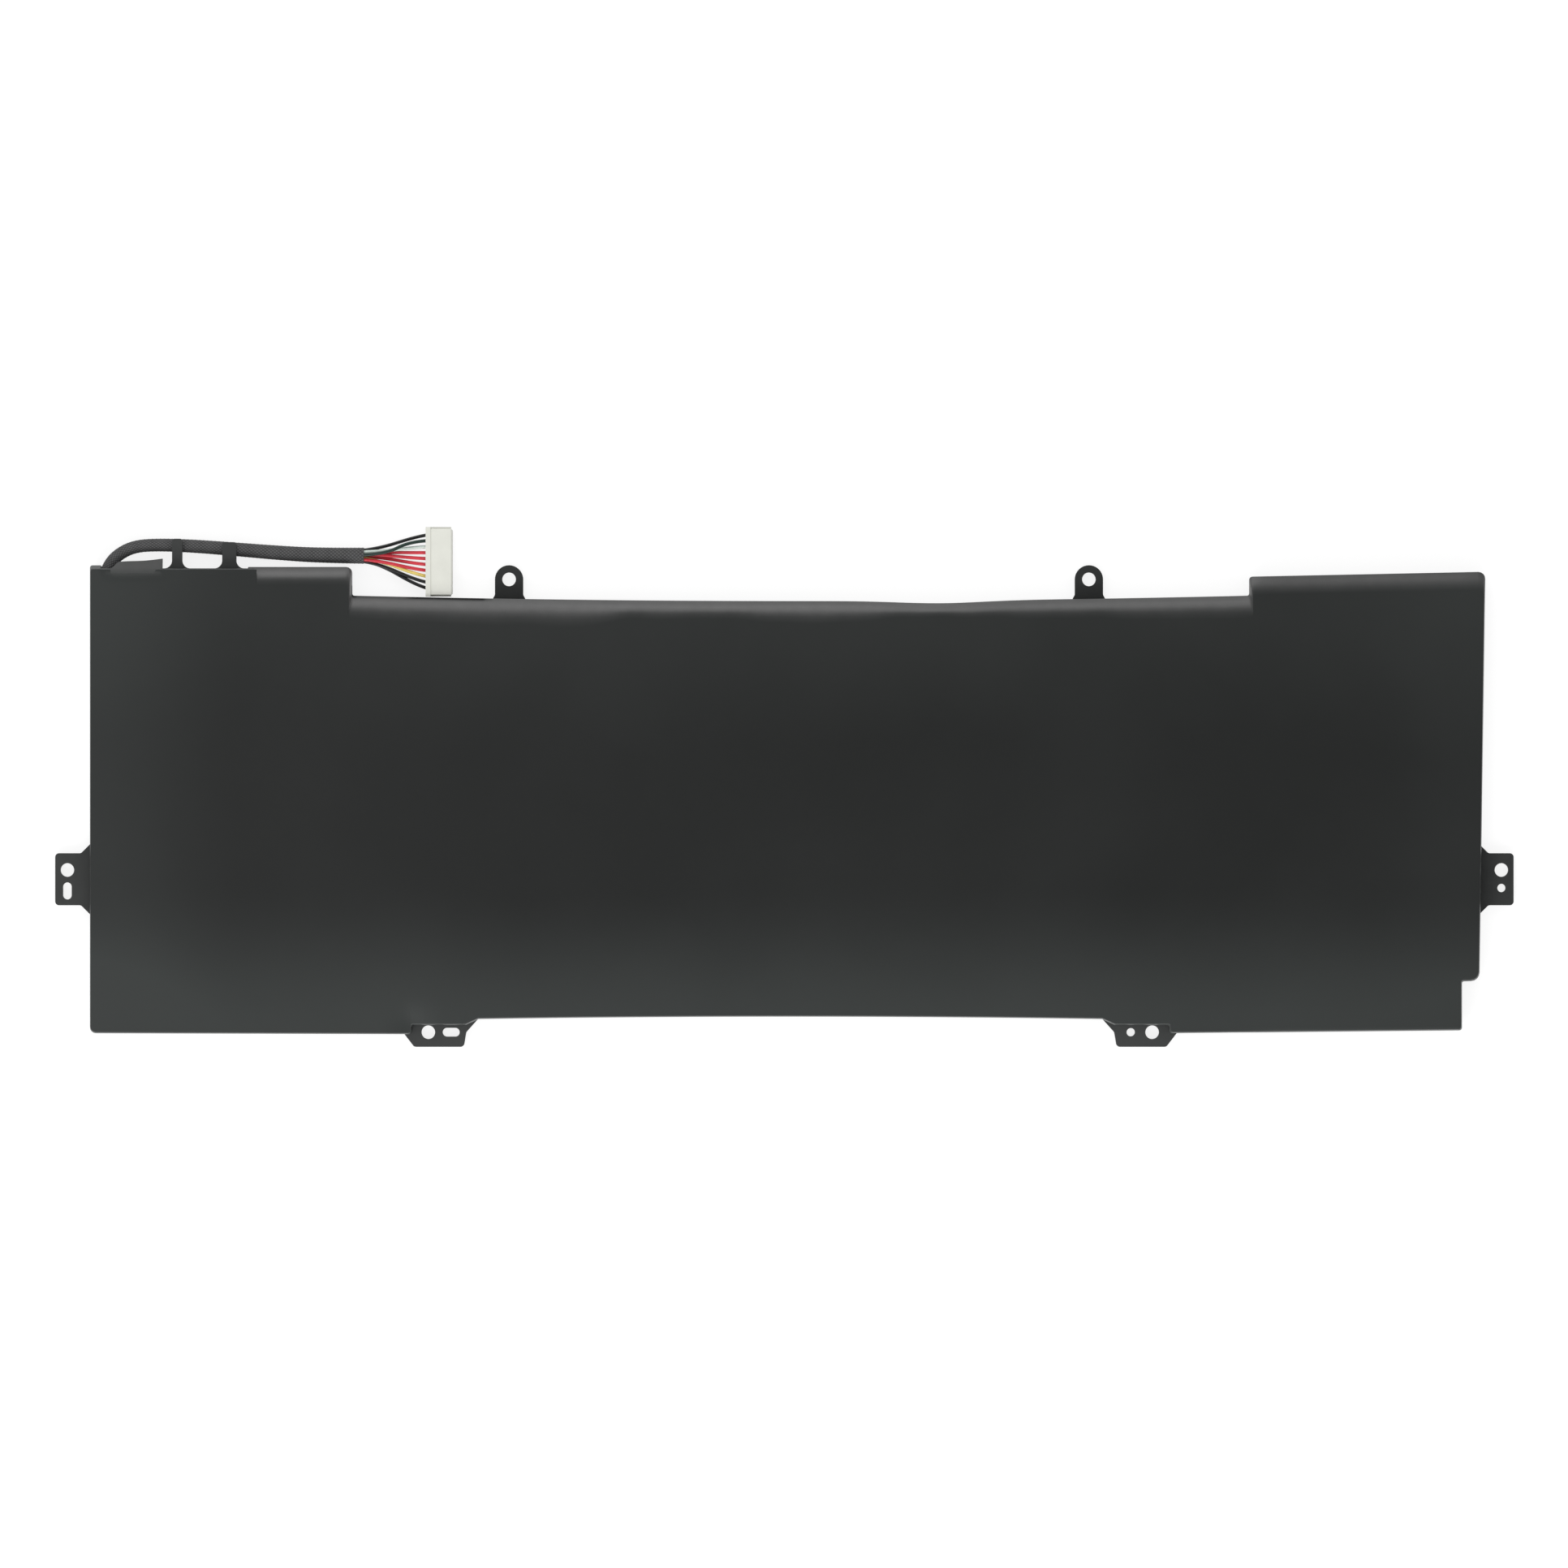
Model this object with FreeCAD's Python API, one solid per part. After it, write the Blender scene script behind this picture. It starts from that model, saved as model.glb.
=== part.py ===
import FreeCAD, Part
import math
import os

Vec = FreeCAD.Vector

# A slim laptop battery pack that lies with its plain film face up. +X runs along the pack, +Y points to
# the edge that the lead leaves from, and +Z points out of the plain face. The origin is under the middle
# of the pack and its lugs, on the surface that it lies on. Sizes are in millimetres.

overrun = 1.0  # how far a cutter runs past what it cuts

# Outline of the pack, seen from above
lug_span = 299.8  # over the outer edges of the two side lugs
overall_depth = 104.4  # lower edge of the bottom lugs to the tip of the longer hook
left_margin = 7.3  # outer edge of the left lug to the pack's left edge
right_margin = 6.5  # outer edge of the right lug to the pack's right edge
hook_reach = 5.8  # upper edge of the left block to the tip of the longer hook
lug_drop = 3.0  # lower edge of the end blocks to the lower edge of the bottom lugs
left_block = 53.8  # length of the raised block at the upper left
right_block = 47.9  # length of the raised block at the upper right
top_waist = 6.1  # middle's upper edge below the left block's
top_bow = 1.4  # how far the taut film pulls that edge in at its middle
right_drop = 2.1  # right block's upper edge below the left block's, at its inner end
right_rise = 1.0  # rise of that edge towards the right corner
right_slant = 0.9  # how far the right edge leans in towards the cut corner
bottom_waist = 2.9  # middle's lower edge above the end blocks'
bottom_bow = 0.7  # how far the taut film pulls that edge in at its middle
lower_rise = 0.5  # rise of the lower edge from the right lug to the cut corner
corner_cut_width = 4.3  # cut at the lower right corner, along X
corner_cut_depth = 10.6  # cut at the lower right corner, along Y
outline_corner = 1.2  # radius of the outline's outer corners
step_corner = 0.5  # radius at the outline's steps

# Layers, from the surface up
film = 0.2  # thickness of either film
film_fit = 0.1  # upper film's skirt to the frame's wall
adhesive = 0.15  # tape between the lower film and the cells
cell_thickness = 5.65
shoulder_drop = 1.8  # face of the upper film to the start of its skirt
shoulder_top = 3.2  # width of the film's rounded shoulder along the upper edges
shoulder_bottom = 1.6  # width of the shoulder along the lower edges
shoulder_side = 2.0  # width of the shoulder along the left and right edges
shoulder_bands = 3  # flat bands that make up the rounded shoulder
skirt_gap = 0.2  # lower edge of the film's skirt above the lugs

# Frame
wall = 1.0  # thickness of the frame's walls
rib = 1.0  # thickness of the dividers and stiffening ribs
rib_pitch = 12.0  # spacing of the stiffening ribs in the frame's pockets
rib_step = 0.8  # tops of the stiffening ribs below the wall's top
tray_floor = 0.6  # floor under the board
divider_end = 0.5  # how far a divider runs in over the tray
peg_diameter = 1.2  # pegs that locate the board
peg_clearance = 0.1

# Lugs
lug_thickness = 1.4
lug_corner = 0.8
bend_corner = 0.4  # corners of a lug where its edge meets the pack
root_corner = 0.2  # corners of a lug inside the wall
tongue_round = 0.999  # roundness of the top lugs' ends
screw_hole = 2.8
locator_hole = 1.7
slot_width = 1.8
slot_length = 3.5
top_lug_spacing = 119.2
top_lug_shift = 3.0  # middle of the two top lugs, right of the pack's middle
top_lug_width = 5.8
top_lug_reach = 3.6  # hole above the middle's upper edge
top_lug_flare = 0.4
side_lug_y = -17.75
side_lug_width = 10.7
side_lug_flare = 2.0
side_screw_inset = 2.5  # hole to the lug's outer edge
side_screw_shift = 1.9  # hole above the lug's middle
side_locator_gap = 3.7  # screw hole to the locating hole
side_slot_gap = 4.3  # screw hole to the slot
bottom_lug_spacing = 144.4
bottom_lug_shift = 1.2  # middle of the two bottom lugs, right of the pack's middle
bottom_lug_length = 10.2
bottom_lug_flare = 2.3
bottom_screw_inset = 3.0  # hole to the lug's lower edge
bottom_screw_shift = 2.2  # hole outward of the lug's middle
bottom_locator_gap = 4.4  # screw hole to the locating hole
bottom_slot_gap = 4.7  # screw hole to the slot
lug_window = 1.7  # how far the film and wall stand back behind a bottom lug
window_margin = 0.5  # room beside the lug in that window
waist_ramp = 2.6  # slanting end of that window

# Hooks that hold the lead to the frame, and the film beside them
hook_1_from_left = 17.9
hook_1_width = 2.1
hook_2_from_left = 28.6
hook_2_width = 2.9
hook_2_setback = 0.7  # second hook's tip behind the first one's
hook_height = 1.4
hook_fillet = 1.9
hook_corner = 0.5
hook_sweep = 1.6  # radius of the fillet at a hook's root
hook_root = 0.1  # corners and step where a hook joins the wall
hook_room = 0.5  # film's edge beside and behind the hooks
flap_length = 8.4  # loose film flap beside the hooks
flap_reach = 1.7
flap_taper = 1.2  # how much less the flap stands out at its far end
flap_corner = 0.05
exit_trim = 0.9  # film cut back where the lead leaves

# Cells
bay_count = 3
cells_per_bay = 2
cell_gap = 0.4
cell_edge = 1.0  # rounding along the cell's sides
seal_fold = 0.25  # thickness of the seal folded up along each side
seal_height = 3.4
terrace_length = 3.5  # sealed end that the tabs come out of
terrace_thickness = 0.5
terrace_inset = 1.0
tab_width = 6.0
tab_thickness = 0.15
tab_spacing = 20.0
tab_lap = 2.6  # length of tab on the board
adhesive_inset = 3.0

# Board and what is on it
board_width = 4.6
board_thickness = 0.8
board_gap = 0.3  # room round the board and the foam
board_corner = 0.4
pad_thickness = 0.15
pad_margin = 0.4
paper_thickness = 0.2
component_height = 1.2
component_gap = 1.6
chip_length = 5.0
chip_width = 4.2
chip_chamfer = 0.25
gauge_pins = 7  # along each of its two sides
switch_pins = 4
pin_width = 0.35
pin_pitch = 0.65
pin_reach = 0.6
pin_height = 0.4
fuse_length = 3.8
resistor_length = 3.0
block_width = 5.2  # fuse and resistor, across the board
small_length = 0.8  # thermistor and capacitors
small_width = 1.6
small_height = 0.8
capacitor_count = 4
terminal_share = 0.2  # part of a fuse, resistor or capacitor that is terminal, at each end
terminal_step = 0.1  # how far a terminal stands out

# Lead: the points that its route turns at, from inside the pack to the end of its sleeve, counted along,
# out and up
# from the pack's upper left corner
sleeve_diameter = 2.6
sleeve_clearance = 0.2
lead_turns = [
    Vec(2.75, -2.3, 3.05),
    Vec(3.75, 0.45, 2.75),
    Vec(5.9, 2.75, 2.4),
    Vec(9.2, 4.32, 2.1),
    Vec(14.2, 4.6, 1.95),
    Vec(21.8, 4.3, 1.9),
    Vec(30.6, 3.6, 1.85),
    Vec(39.1, 2.9, 1.65),
    Vec(47.6, 2.25, 1.4),
    Vec(56.2, 2.25, 1.4),
]
arc_share = 0.45  # part of the shorter run that each bend takes up
wire_diameter = 0.6
wire_colours = ["black", "green", "white", "red", "red", "red", "red", "yellow", "black", "black"]
bundle_ring = 0.98  # radius at which eight of the wires lie round the other two
bundle_core = 0.31
wire_straight = 3.6  # straight ends of the fanned wires
tail_start = 0.9  # wire ends inside the pack, clear of the sleeve's cut end
tail_drop = 3.0  # first row of solder points below the sleeve's end
tail_row = 2.6  # spacing of the three rows
tail_spread = 1.5  # how much wider the rows are than the bundle
tail_shift = 1.0  # middle of the rows, right of the sleeve's end

# Connector
ways = len(wire_colours)
pitch = 1.25
connector_run = 15.1  # left block's end to the rear face
connector_reach = 7.2  # middle above the waist's upper edge
housing_depth = 5.5
housing_height = 3.4
housing_end = 1.5  # last way to the housing's end
guide_depth = 0.35  # guide rails at the ends
guide_height = 1.2
flange_depth = 1.0
flange_rise = 0.2
cavity_width = 0.95
cavity_height = 1.3
cavity_floor = 1.0
window_start = 2.2  # lance windows under the housing, from its rear face
window_length = 1.2
window_width = 0.6
front_chamfer = 0.3
contact_fit = 0.05
contact_wall = 0.15
contact_inset = 1.4  # rear of a contact from the housing's rear
contact_front = 0.5

# Places that follow from the sizes above
x_lug_left = -lug_span / 2
x_lug_right = lug_span / 2
y_lug_low = -overall_depth / 2
y_hook_tip = overall_depth / 2
x_left = x_lug_left + left_margin
x_right = x_lug_right - right_margin
y_left_top = y_hook_tip - hook_reach
y_low = y_lug_low + lug_drop
x_step_left = x_left + left_block
x_step_right = x_right - right_block
y_mid_top = y_left_top - top_waist
y_right_top = y_left_top - right_drop
y_mid_low = y_low + bottom_waist
x_cut = x_right - corner_cut_width
y_cut = y_low + corner_cut_depth
y_right_corner = y_right_top + right_rise
lug_share = (y_right_corner - side_lug_y) / (y_right_corner - y_cut)
x_right_at_lug = x_right - right_slant * lug_share
x_bottom_lugs = [bottom_lug_shift - bottom_lug_spacing / 2, bottom_lug_shift + bottom_lug_spacing / 2]
x_top_lugs = [top_lug_shift - top_lug_spacing / 2, top_lug_shift + top_lug_spacing / 2]
x_hook_1 = x_left + hook_1_from_left
x_hook_2 = x_left + hook_2_from_left
x_hooks_start = x_hook_1 - hook_1_width / 2 - hook_fillet - hook_room
x_hooks_end = x_hook_2 + hook_2_width / 2 + hook_fillet + hook_room
x_flap = x_hooks_start - flap_length

z_frame = film
z_cell = film + adhesive
z_cell_top = z_cell + cell_thickness
z_top = z_cell_top + film
z_edge = z_top - shoulder_drop
z_wall_top = z_edge - film
z_lug_top = z_frame + lug_thickness
z_skirt = z_lug_top + skirt_gap
z_tray = z_frame + tray_floor
z_board_top = z_tray + board_thickness
z_pad_top = z_board_top + pad_thickness
z_tab_top = z_pad_top + tab_thickness
z_terrace = (z_pad_top + z_tab_top - terrace_thickness) / 2
z_terrace_top = z_terrace + terrace_thickness
z_component_top = z_board_top + component_height

skin = film + film_fit
inside = skin + wall
x_in_left = x_left + inside
x_in_right = x_cut - inside
bay_side = max(inside, film + shoulder_side)
bay_low = max(inside, film + shoulder_bottom)
x_bay_left = x_left + bay_side
x_bay_right = x_cut - bay_side
y_rail_low = y_mid_low + bottom_bow + bay_low
y_rail_top = y_mid_top - top_bow - inside
y_board_top = y_rail_top - board_gap
y_board_low = y_board_top - board_width
y_board_wide = y_left_top - inside - board_gap
x_board_left = x_in_left + board_gap
x_board_right = x_in_right - board_gap
x_board_step = x_step_left - inside - board_gap
y_terrace_end = y_board_low - board_gap
y_cell_top = y_terrace_end - terrace_length
y_cell_low = y_rail_low + cell_gap
y_tray_low = y_cell_top + cell_gap
y_foam_low = y_tray_low + divider_end + board_gap
y_foam_top = y_mid_top - top_bow - film - shoulder_top - board_gap
bay_width = (x_bay_right - x_bay_left - rib * (bay_count - 1)) / bay_count
cell_width = (bay_width - cell_gap * (cells_per_bay + 1)) / cells_per_bay
x_dividers = [x_bay_left + bay_width * (i + 1) + rib * i for i in range(bay_count - 1)]
x_cells = [
    x_bay_left + bay * (bay_width + rib) + cell_gap + cell * (cell_width + cell_gap)
    for bay in range(bay_count)
    for cell in range(cells_per_bay)
]

lead_route = [Vec(x_left, y_left_top, 0) + turn for turn in lead_turns]
connector_x = x_step_left + connector_run
connector_y = y_mid_top + connector_reach
sleeve_radius = sleeve_diameter / 2
wire_radius = wire_diameter / 2
x_contact = connector_x + contact_inset
x_mating = connector_x + housing_depth
y_ways = [connector_y + pitch * ((ways - 1) / 2 - i) for i in range(ways)]
contact_height = cavity_height - contact_fit
contact_width = cavity_width - 2 * contact_fit
z_wire = cavity_floor + contact_height / 2


def rounded_wire(corners, z):
    """Closed wire at height z through corners (x, y, radius, bow); an edge's bow moves its middle in Y."""
    points = [Vec(x, y, z) for x, y, _, _ in corners]
    arcs = []
    for i, corner in enumerate(corners):
        here = points[i]
        back = (points[i - 1] - here).normalize()
        ahead = (points[(i + 1) % len(points)] - here).normalize()
        half = back.getAngle(ahead) / 2
        reach = corner[2] / math.tan(half)
        rise = corner[2] / math.sin(half) - corner[2]
        arcs.append((here + back * reach, here + (back + ahead).normalize() * rise, here + ahead * reach))
    edges = []
    for i, corner in enumerate(corners):
        edges.append(Part.Arc(*arcs[i]).toShape())
        start = arcs[i][2]
        end = arcs[(i + 1) % len(arcs)][0]
        if corner[3]:
            edges.append(Part.Arc(start, (start + end) * 0.5 + Vec(0, corner[3], 0), end).toShape())
        else:
            edges.append(Part.makeLine(start, end))
    return Part.Wire(edges)


def prism(corners, z_from, z_to):
    """Upright solid on an outline of rounded corners."""
    return Part.Face(rounded_wire(corners, z_from)).extrude(Vec(0, 0, z_to - z_from))


def block(x_from, x_to, y_from, y_to, z_from, z_to):
    """Upright box between two corners."""
    return Part.makeBox(x_to - x_from, y_to - y_from, z_to - z_from, Vec(x_from, y_from, z_from))


def post(x, y, z_from, z_to, diameter):
    """Upright cylinder."""
    return Part.makeCylinder(diameter / 2, z_to - z_from, Vec(x, y, z_from))


def long_slot(x, y, z_from, z_to, along_x):
    """Slot with round ends, along X or along Y."""
    half = (slot_length - slot_width) / 2
    side = slot_width / 2
    reach_x = half if along_x else 0
    reach_y = 0 if along_x else half
    across_x = 0 if along_x else side
    across_y = side if along_x else 0
    middle = block(
        x - reach_x - across_x,
        x + reach_x + across_x,
        y - reach_y - across_y,
        y + reach_y + across_y,
        z_from,
        z_to,
    )
    ends = [post(x + sign * reach_x, y + sign * reach_y, z_from, z_to, slot_width) for sign in (-1, 1)]
    return joined([middle] + ends)


def joined(shapes):
    """One solid from shapes that overlap."""
    return shapes[0].multiFuse(shapes[1:]).removeSplitter()


def pack_corners(top, bottom, side):
    """Corners of the pack's outline, set in by the given amounts at its upper, lower and side edges."""
    low = y_low + bottom
    window = low + lug_window
    waist_low = y_mid_low + bottom
    waist_top = y_mid_top - top
    right_top = y_right_top - top
    half = bottom_lug_length / 2 + window_margin + side
    lug_a, lug_b = x_bottom_lugs
    return [
        (x_left + side, low, outline_corner, 0),
        (lug_a - half, low, step_corner, 0),
        (lug_a - half, window, step_corner, 0),
        (lug_a + half, window, step_corner, 0),
        (lug_a + half + waist_ramp, waist_low, step_corner, bottom_bow),
        (lug_b - half - waist_ramp, waist_low, step_corner, 0),
        (lug_b - half, window, step_corner, 0),
        (lug_b + half, window, step_corner, 0),
        (lug_b + half, low, step_corner, 0),
        (x_cut - side, low + lower_rise, outline_corner, 0),
        (x_cut - side, y_cut + bottom, step_corner, 0),
        (x_right - right_slant - side, y_cut + bottom, outline_corner, 0),
        (x_right - side, right_top + right_rise, outline_corner, 0),
        (x_step_right + side, right_top, outline_corner, 0),
        (x_step_right + side, waist_top, step_corner, -top_bow),
        (x_step_left - side, waist_top, step_corner, 0),
        (x_step_left - side, y_left_top - top, outline_corner, 0),
        (x_left + side, y_left_top - top, outline_corner, 0),
    ]


def tube_path(points):
    """Straight runs through the points, joined by tangent arcs that are as large as the runs allow."""
    edges = []
    radii = []
    here = points[0]
    for before, corner, after in zip(points, points[1:], points[2:]):
        run_in = corner - before
        run_out = after - corner
        cut = arc_share * min(run_in.Length, run_out.Length)
        half = run_in.getAngle(run_out) / 2
        radius = cut / math.tan(half)
        run_in.normalize()
        run_out.normalize()
        start = corner - run_in * cut
        end = corner + run_out * cut
        middle = corner + (run_out - run_in).normalize() * (radius / math.cos(half) - radius)
        edges.append(Part.makeLine(here, start))
        edges.append(Part.Arc(start, middle, end).toShape())
        radii.append(radius)
        here = end
    edges.append(Part.makeLine(here, points[-1]))
    return Part.Wire(edges), radii


def tube(points, diameter):
    """Round tube along a path through the points."""
    path, radii = tube_path(points)
    section = Part.Wire(Part.makeCircle(diameter / 2, points[0], points[1] - points[0]))
    solid = path.makePipeShell([section], True, True)
    expected = math.pi * diameter**2 / 4 * path.Length
    return solid, radii, solid.Volume / expected, path.Length


def top_lug(x):
    """Upper lug: a tongue with a full round end, flared at its root."""
    half = top_lug_width / 2
    root = y_mid_top - top_bow - skin - wall / 2
    tip = y_mid_top + top_lug_reach + half
    corners = [
        (x - half - top_lug_flare, root, bend_corner, 0),
        (x + half + top_lug_flare, root, bend_corner, 0),
        (x + half + top_lug_flare, y_mid_top - skin, root_corner, 0),
        (x + half, y_mid_top + top_lug_flare, lug_corner, 0),
        (x + half, tip, half * tongue_round, 0),
        (x - half, tip, half * tongue_round, 0),
        (x - half, y_mid_top + top_lug_flare, lug_corner, 0),
        (x - half - top_lug_flare, y_mid_top - skin, root_corner, 0),
    ]
    return prism(corners, z_frame, z_lug_top)


def side_lug(x_outer, x_edge, inward):
    """Lug on the left or right edge, flared at its root; inward is the direction towards the pack."""
    half = side_lug_width / 2
    root = x_edge + inward * (skin + wall / 2)
    bend = x_edge - inward * side_lug_flare
    corners = [
        (x_outer, side_lug_y - half, lug_corner, 0),
        (bend, side_lug_y - half, lug_corner, 0),
        (x_edge, side_lug_y - half - side_lug_flare, bend_corner, 0),
        (root, side_lug_y - half - side_lug_flare, root_corner, 0),
        (root, side_lug_y + half + side_lug_flare, root_corner, 0),
        (x_edge, side_lug_y + half + side_lug_flare, bend_corner, 0),
        (bend, side_lug_y + half, lug_corner, 0),
        (x_outer, side_lug_y + half, lug_corner, 0),
    ]
    return prism(corners, z_frame, z_lug_top)


def bottom_lug(x, outward):
    """Lug on the lower edge: slanted towards the pack's end, and ramped up to the waist on its other side."""
    half = bottom_lug_length / 2
    root = y_low + lug_window + skin + wall / 2
    inner = x - outward * (half + window_margin)
    waist = inner - outward * waist_ramp
    corners = [
        (x + outward * half, y_lug_low, lug_corner, 0),
        (x + outward * (half + bottom_lug_flare), y_low, bend_corner, 0),
        (x + outward * (half + bottom_lug_flare), y_low + skin + wall / 2, root_corner, 0),
        (x + outward * half, root, root_corner, 0),
        (inner, root, root_corner, 0),
        (waist, y_mid_low + skin + wall / 2, root_corner, 0),
        (waist, y_mid_low, root_corner, 0),
        (inner, y_low, lug_corner, 0),
        (x - outward * half, y_lug_low, lug_corner, 0),
    ]
    return prism(corners, z_frame, z_lug_top)


def lug_holes():
    """Cutters for the screw holes, locating holes and locating slots of the six lugs."""
    z_from = z_frame - overrun
    z_to = z_lug_top + overrun
    y_top = y_mid_top + top_lug_reach
    y_side = side_lug_y + side_screw_shift
    y_bottom = y_lug_low + bottom_screw_inset
    x_side = [x_lug_left + side_screw_inset, x_lug_right - side_screw_inset]
    x_bottom = [x_bottom_lugs[0] - bottom_screw_shift, x_bottom_lugs[1] + bottom_screw_shift]
    cutters = [post(x, y_top, z_from, z_to, screw_hole) for x in x_top_lugs]
    cutters += [post(x, y_side, z_from, z_to, screw_hole) for x in x_side]
    cutters += [post(x, y_bottom, z_from, z_to, screw_hole) for x in x_bottom]
    cutters.append(long_slot(x_side[0], y_side - side_slot_gap, z_from, z_to, False))
    cutters.append(post(x_side[1], y_side - side_locator_gap, z_from, z_to, locator_hole))
    cutters.append(long_slot(x_bottom[0] + bottom_slot_gap, y_bottom, z_from, z_to, True))
    cutters.append(post(x_bottom[1] - bottom_locator_gap, y_bottom, z_from, z_to, locator_hole))
    return cutters


def lead_at(x):
    """Place of the lead's middle at x, on the straight runs of its route."""
    for start, end in zip(lead_route, lead_route[1:]):
        if start.x <= x <= end.x:
            return start + (end - start) * ((x - start.x) / (end.x - start.x))
    return lead_route[-1]


def lead_hook(x, width, tip):
    """Finger over the lead, filleted into the wall, with a groove under it that the sleeve lies in."""
    half = width / 2
    face = y_left_top - skin
    corners = [
        (x - half - hook_fillet, face - wall / 2, hook_root, 0),
        (x + half + hook_fillet, face - wall / 2, hook_root, 0),
        (x + half + hook_fillet, face, hook_root, 0),
        (x + half, face + hook_root, hook_sweep, 0),
        (x + half, tip, hook_corner, 0),
        (x - half, tip, hook_corner, 0),
        (x - half, face + hook_root, hook_sweep, 0),
        (x - half - hook_fillet, face, hook_root, 0),
    ]
    arm = prism(corners, z_wall_top - hook_height, z_wall_top)
    place = lead_at(x)
    groove = Part.makeCylinder(
        sleeve_radius + sleeve_clearance,
        width + 2 * hook_fillet,
        Vec(x - half - hook_fillet, place.y, place.z),
        Vec(1, 0, 0),
    )
    return arm.cut(groove)


def lead_notch():
    """Cutter for the notch in the wall that the lead leaves through, as wide as the slanting sleeve needs."""
    start = lead_route[0]
    run = lead_route[1] - start
    y_middle = y_left_top - skin - wall / 2
    middle = start + run * ((y_middle - start.y) / run.y)
    room = sleeve_radius + sleeve_clearance
    half = (room * run.Length + wall / 2 * run.x) / run.y
    y_from = y_left_top - inside - outline_corner
    z_cut = z_wall_top + overrun
    return block(middle.x - half, middle.x + half, y_from, y_left_top, middle.z - room, z_cut)


def pocket_ribs(start, end, low, high, along_x):
    """Stiffening ribs across a pocket that runs from start to end, let into the walls on both sides."""
    count = max(1, round((end - start) / rib_pitch) - 1)
    step = (end - start) / (count + 1)
    sink = wall / 2
    ribs = []
    for i in range(count):
        place = start + step * (i + 1) - rib / 2
        x_from, x_to, y_from, y_to = place, place + rib, low - sink, high + sink
        if not along_x:
            x_from, x_to, y_from, y_to = low - sink, high + sink, place, place + rib
        ribs.append(block(x_from, x_to, y_from, y_to, z_frame, z_wall_top - rib_step))
    return ribs


def frame_walls():
    """Outer wall, rails round the cells, dividers, pocket ribs and the board's tray with its pegs."""
    rim = prism(pack_corners(skin, skin, skin), z_frame, z_wall_top)
    rim = rim.cut(prism(pack_corners(inside, inside, inside), z_frame, z_wall_top))
    middle = skin + wall / 2
    tray = prism(pack_corners(middle, middle, middle), z_frame, z_tray)
    tray = tray.common(block(x_left, x_right, y_tray_low, y_hook_tip, z_frame, z_tray))
    x_wall_right = x_right - skin - wall / 2
    sink = wall / 2
    low_rail = block(x_in_left - sink, x_in_right + sink, y_rail_low - wall, y_rail_low, z_frame, z_wall_top)
    right_rail = block(x_in_right, x_in_right + wall, y_cut, y_rail_top + wall, z_frame, z_wall_top)
    top_rail = block(x_step_right + skin, x_wall_right, y_rail_top, y_rail_top + wall, z_frame, z_wall_top)
    pieces = [rim, tray, low_rail, right_rail, top_rail]
    for x in x_dividers:
        y_end = y_tray_low + divider_end
        pieces.append(block(x, x + rib, y_rail_low - wall / 2, y_end, z_frame, z_wall_top))
        pieces.append(post(x + rib / 2, (y_board_low + y_board_top) / 2, z_frame, z_pad_top, peg_diameter))
    half = bottom_lug_length / 2 + window_margin + inside
    y_floor = y_low + inside
    y_roof = y_right_corner - inside
    ribs = pocket_ribs(x_in_left, x_bottom_lugs[0] - half, y_floor, y_rail_low - wall, True)
    ribs += pocket_ribs(x_bottom_lugs[1] + half, x_in_right, y_floor, y_rail_low - wall, True)
    ribs += pocket_ribs(x_step_right + inside, x_right - inside, y_rail_top + wall, y_roof, True)
    ribs += pocket_ribs(y_cut + inside, y_rail_top, x_in_right + wall, x_right - inside, False)
    core = prism(pack_corners(middle, middle, middle), z_frame, z_wall_top)
    return pieces + [one.common(core) for one in ribs]


def make_frame():
    """The moulded frame: walls, six lugs and two lead hooks, with its holes and the notch for the lead."""
    pieces = frame_walls()
    pieces += [top_lug(x) for x in x_top_lugs]
    pieces.append(side_lug(x_lug_left, x_left, 1))
    pieces.append(side_lug(x_lug_right, x_right_at_lug, -1))
    pieces.append(bottom_lug(x_bottom_lugs[0], -1))
    pieces.append(bottom_lug(x_bottom_lugs[1], 1))
    pieces.append(lead_hook(x_hook_1, hook_1_width, y_hook_tip))
    pieces.append(lead_hook(x_hook_2, hook_2_width, y_hook_tip - hook_2_setback))
    return joined(pieces).cut(lug_holes() + [lead_notch()])


def film_form(set_in, lower, z_from):
    """Solid under the upper film's face: upright sides and a shoulder that follows a quarter ellipse."""
    wires = [rounded_wire(pack_corners(set_in, set_in, set_in), z_from)]
    for i in range(shoulder_bands + 1):
        turn = math.pi / 2 * i / shoulder_bands
        across = 1 - math.cos(turn)
        corners = pack_corners(
            set_in + across * shoulder_top,
            set_in + across * shoulder_bottom,
            set_in + across * shoulder_side,
        )
        wires.append(rounded_wire(corners, z_edge - lower + shoulder_drop * math.sin(turn)))
    return Part.makeLoft(wires, True, True)


def make_upper_film():
    """Thin shell over the pack's face, cut back at the lead's exit and the hooks, with its loose flap."""
    z_from = z_skirt - overrun
    z_to = z_top + overrun
    y_to = y_left_top + overrun
    shell = film_form(0, 0, z_skirt).cut(film_form(film, film, z_from))
    exit_cut = block(x_left - overrun, x_flap, y_left_top - exit_trim, y_to, z_from, z_to)
    hook_cut = block(x_hooks_start, x_hooks_end, y_left_top - hook_room - film, y_to, z_from, z_to)
    flap_corners = [
        (x_flap, y_left_top - film, flap_corner, 0),
        (x_hooks_start, y_left_top - film, flap_corner, 0),
        (x_hooks_start, y_left_top + flap_reach, flap_corner, 0),
        (x_flap, y_left_top + flap_reach - flap_taper, flap_corner, 0),
    ]
    flap = prism(flap_corners, z_edge - film, z_edge)
    return joined([shell.cut([exit_cut, hook_cut]), flap])


def make_lower_film():
    """Flat film under the frame and the cells."""
    return prism(pack_corners(skin, skin, skin), 0, film)


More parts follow.
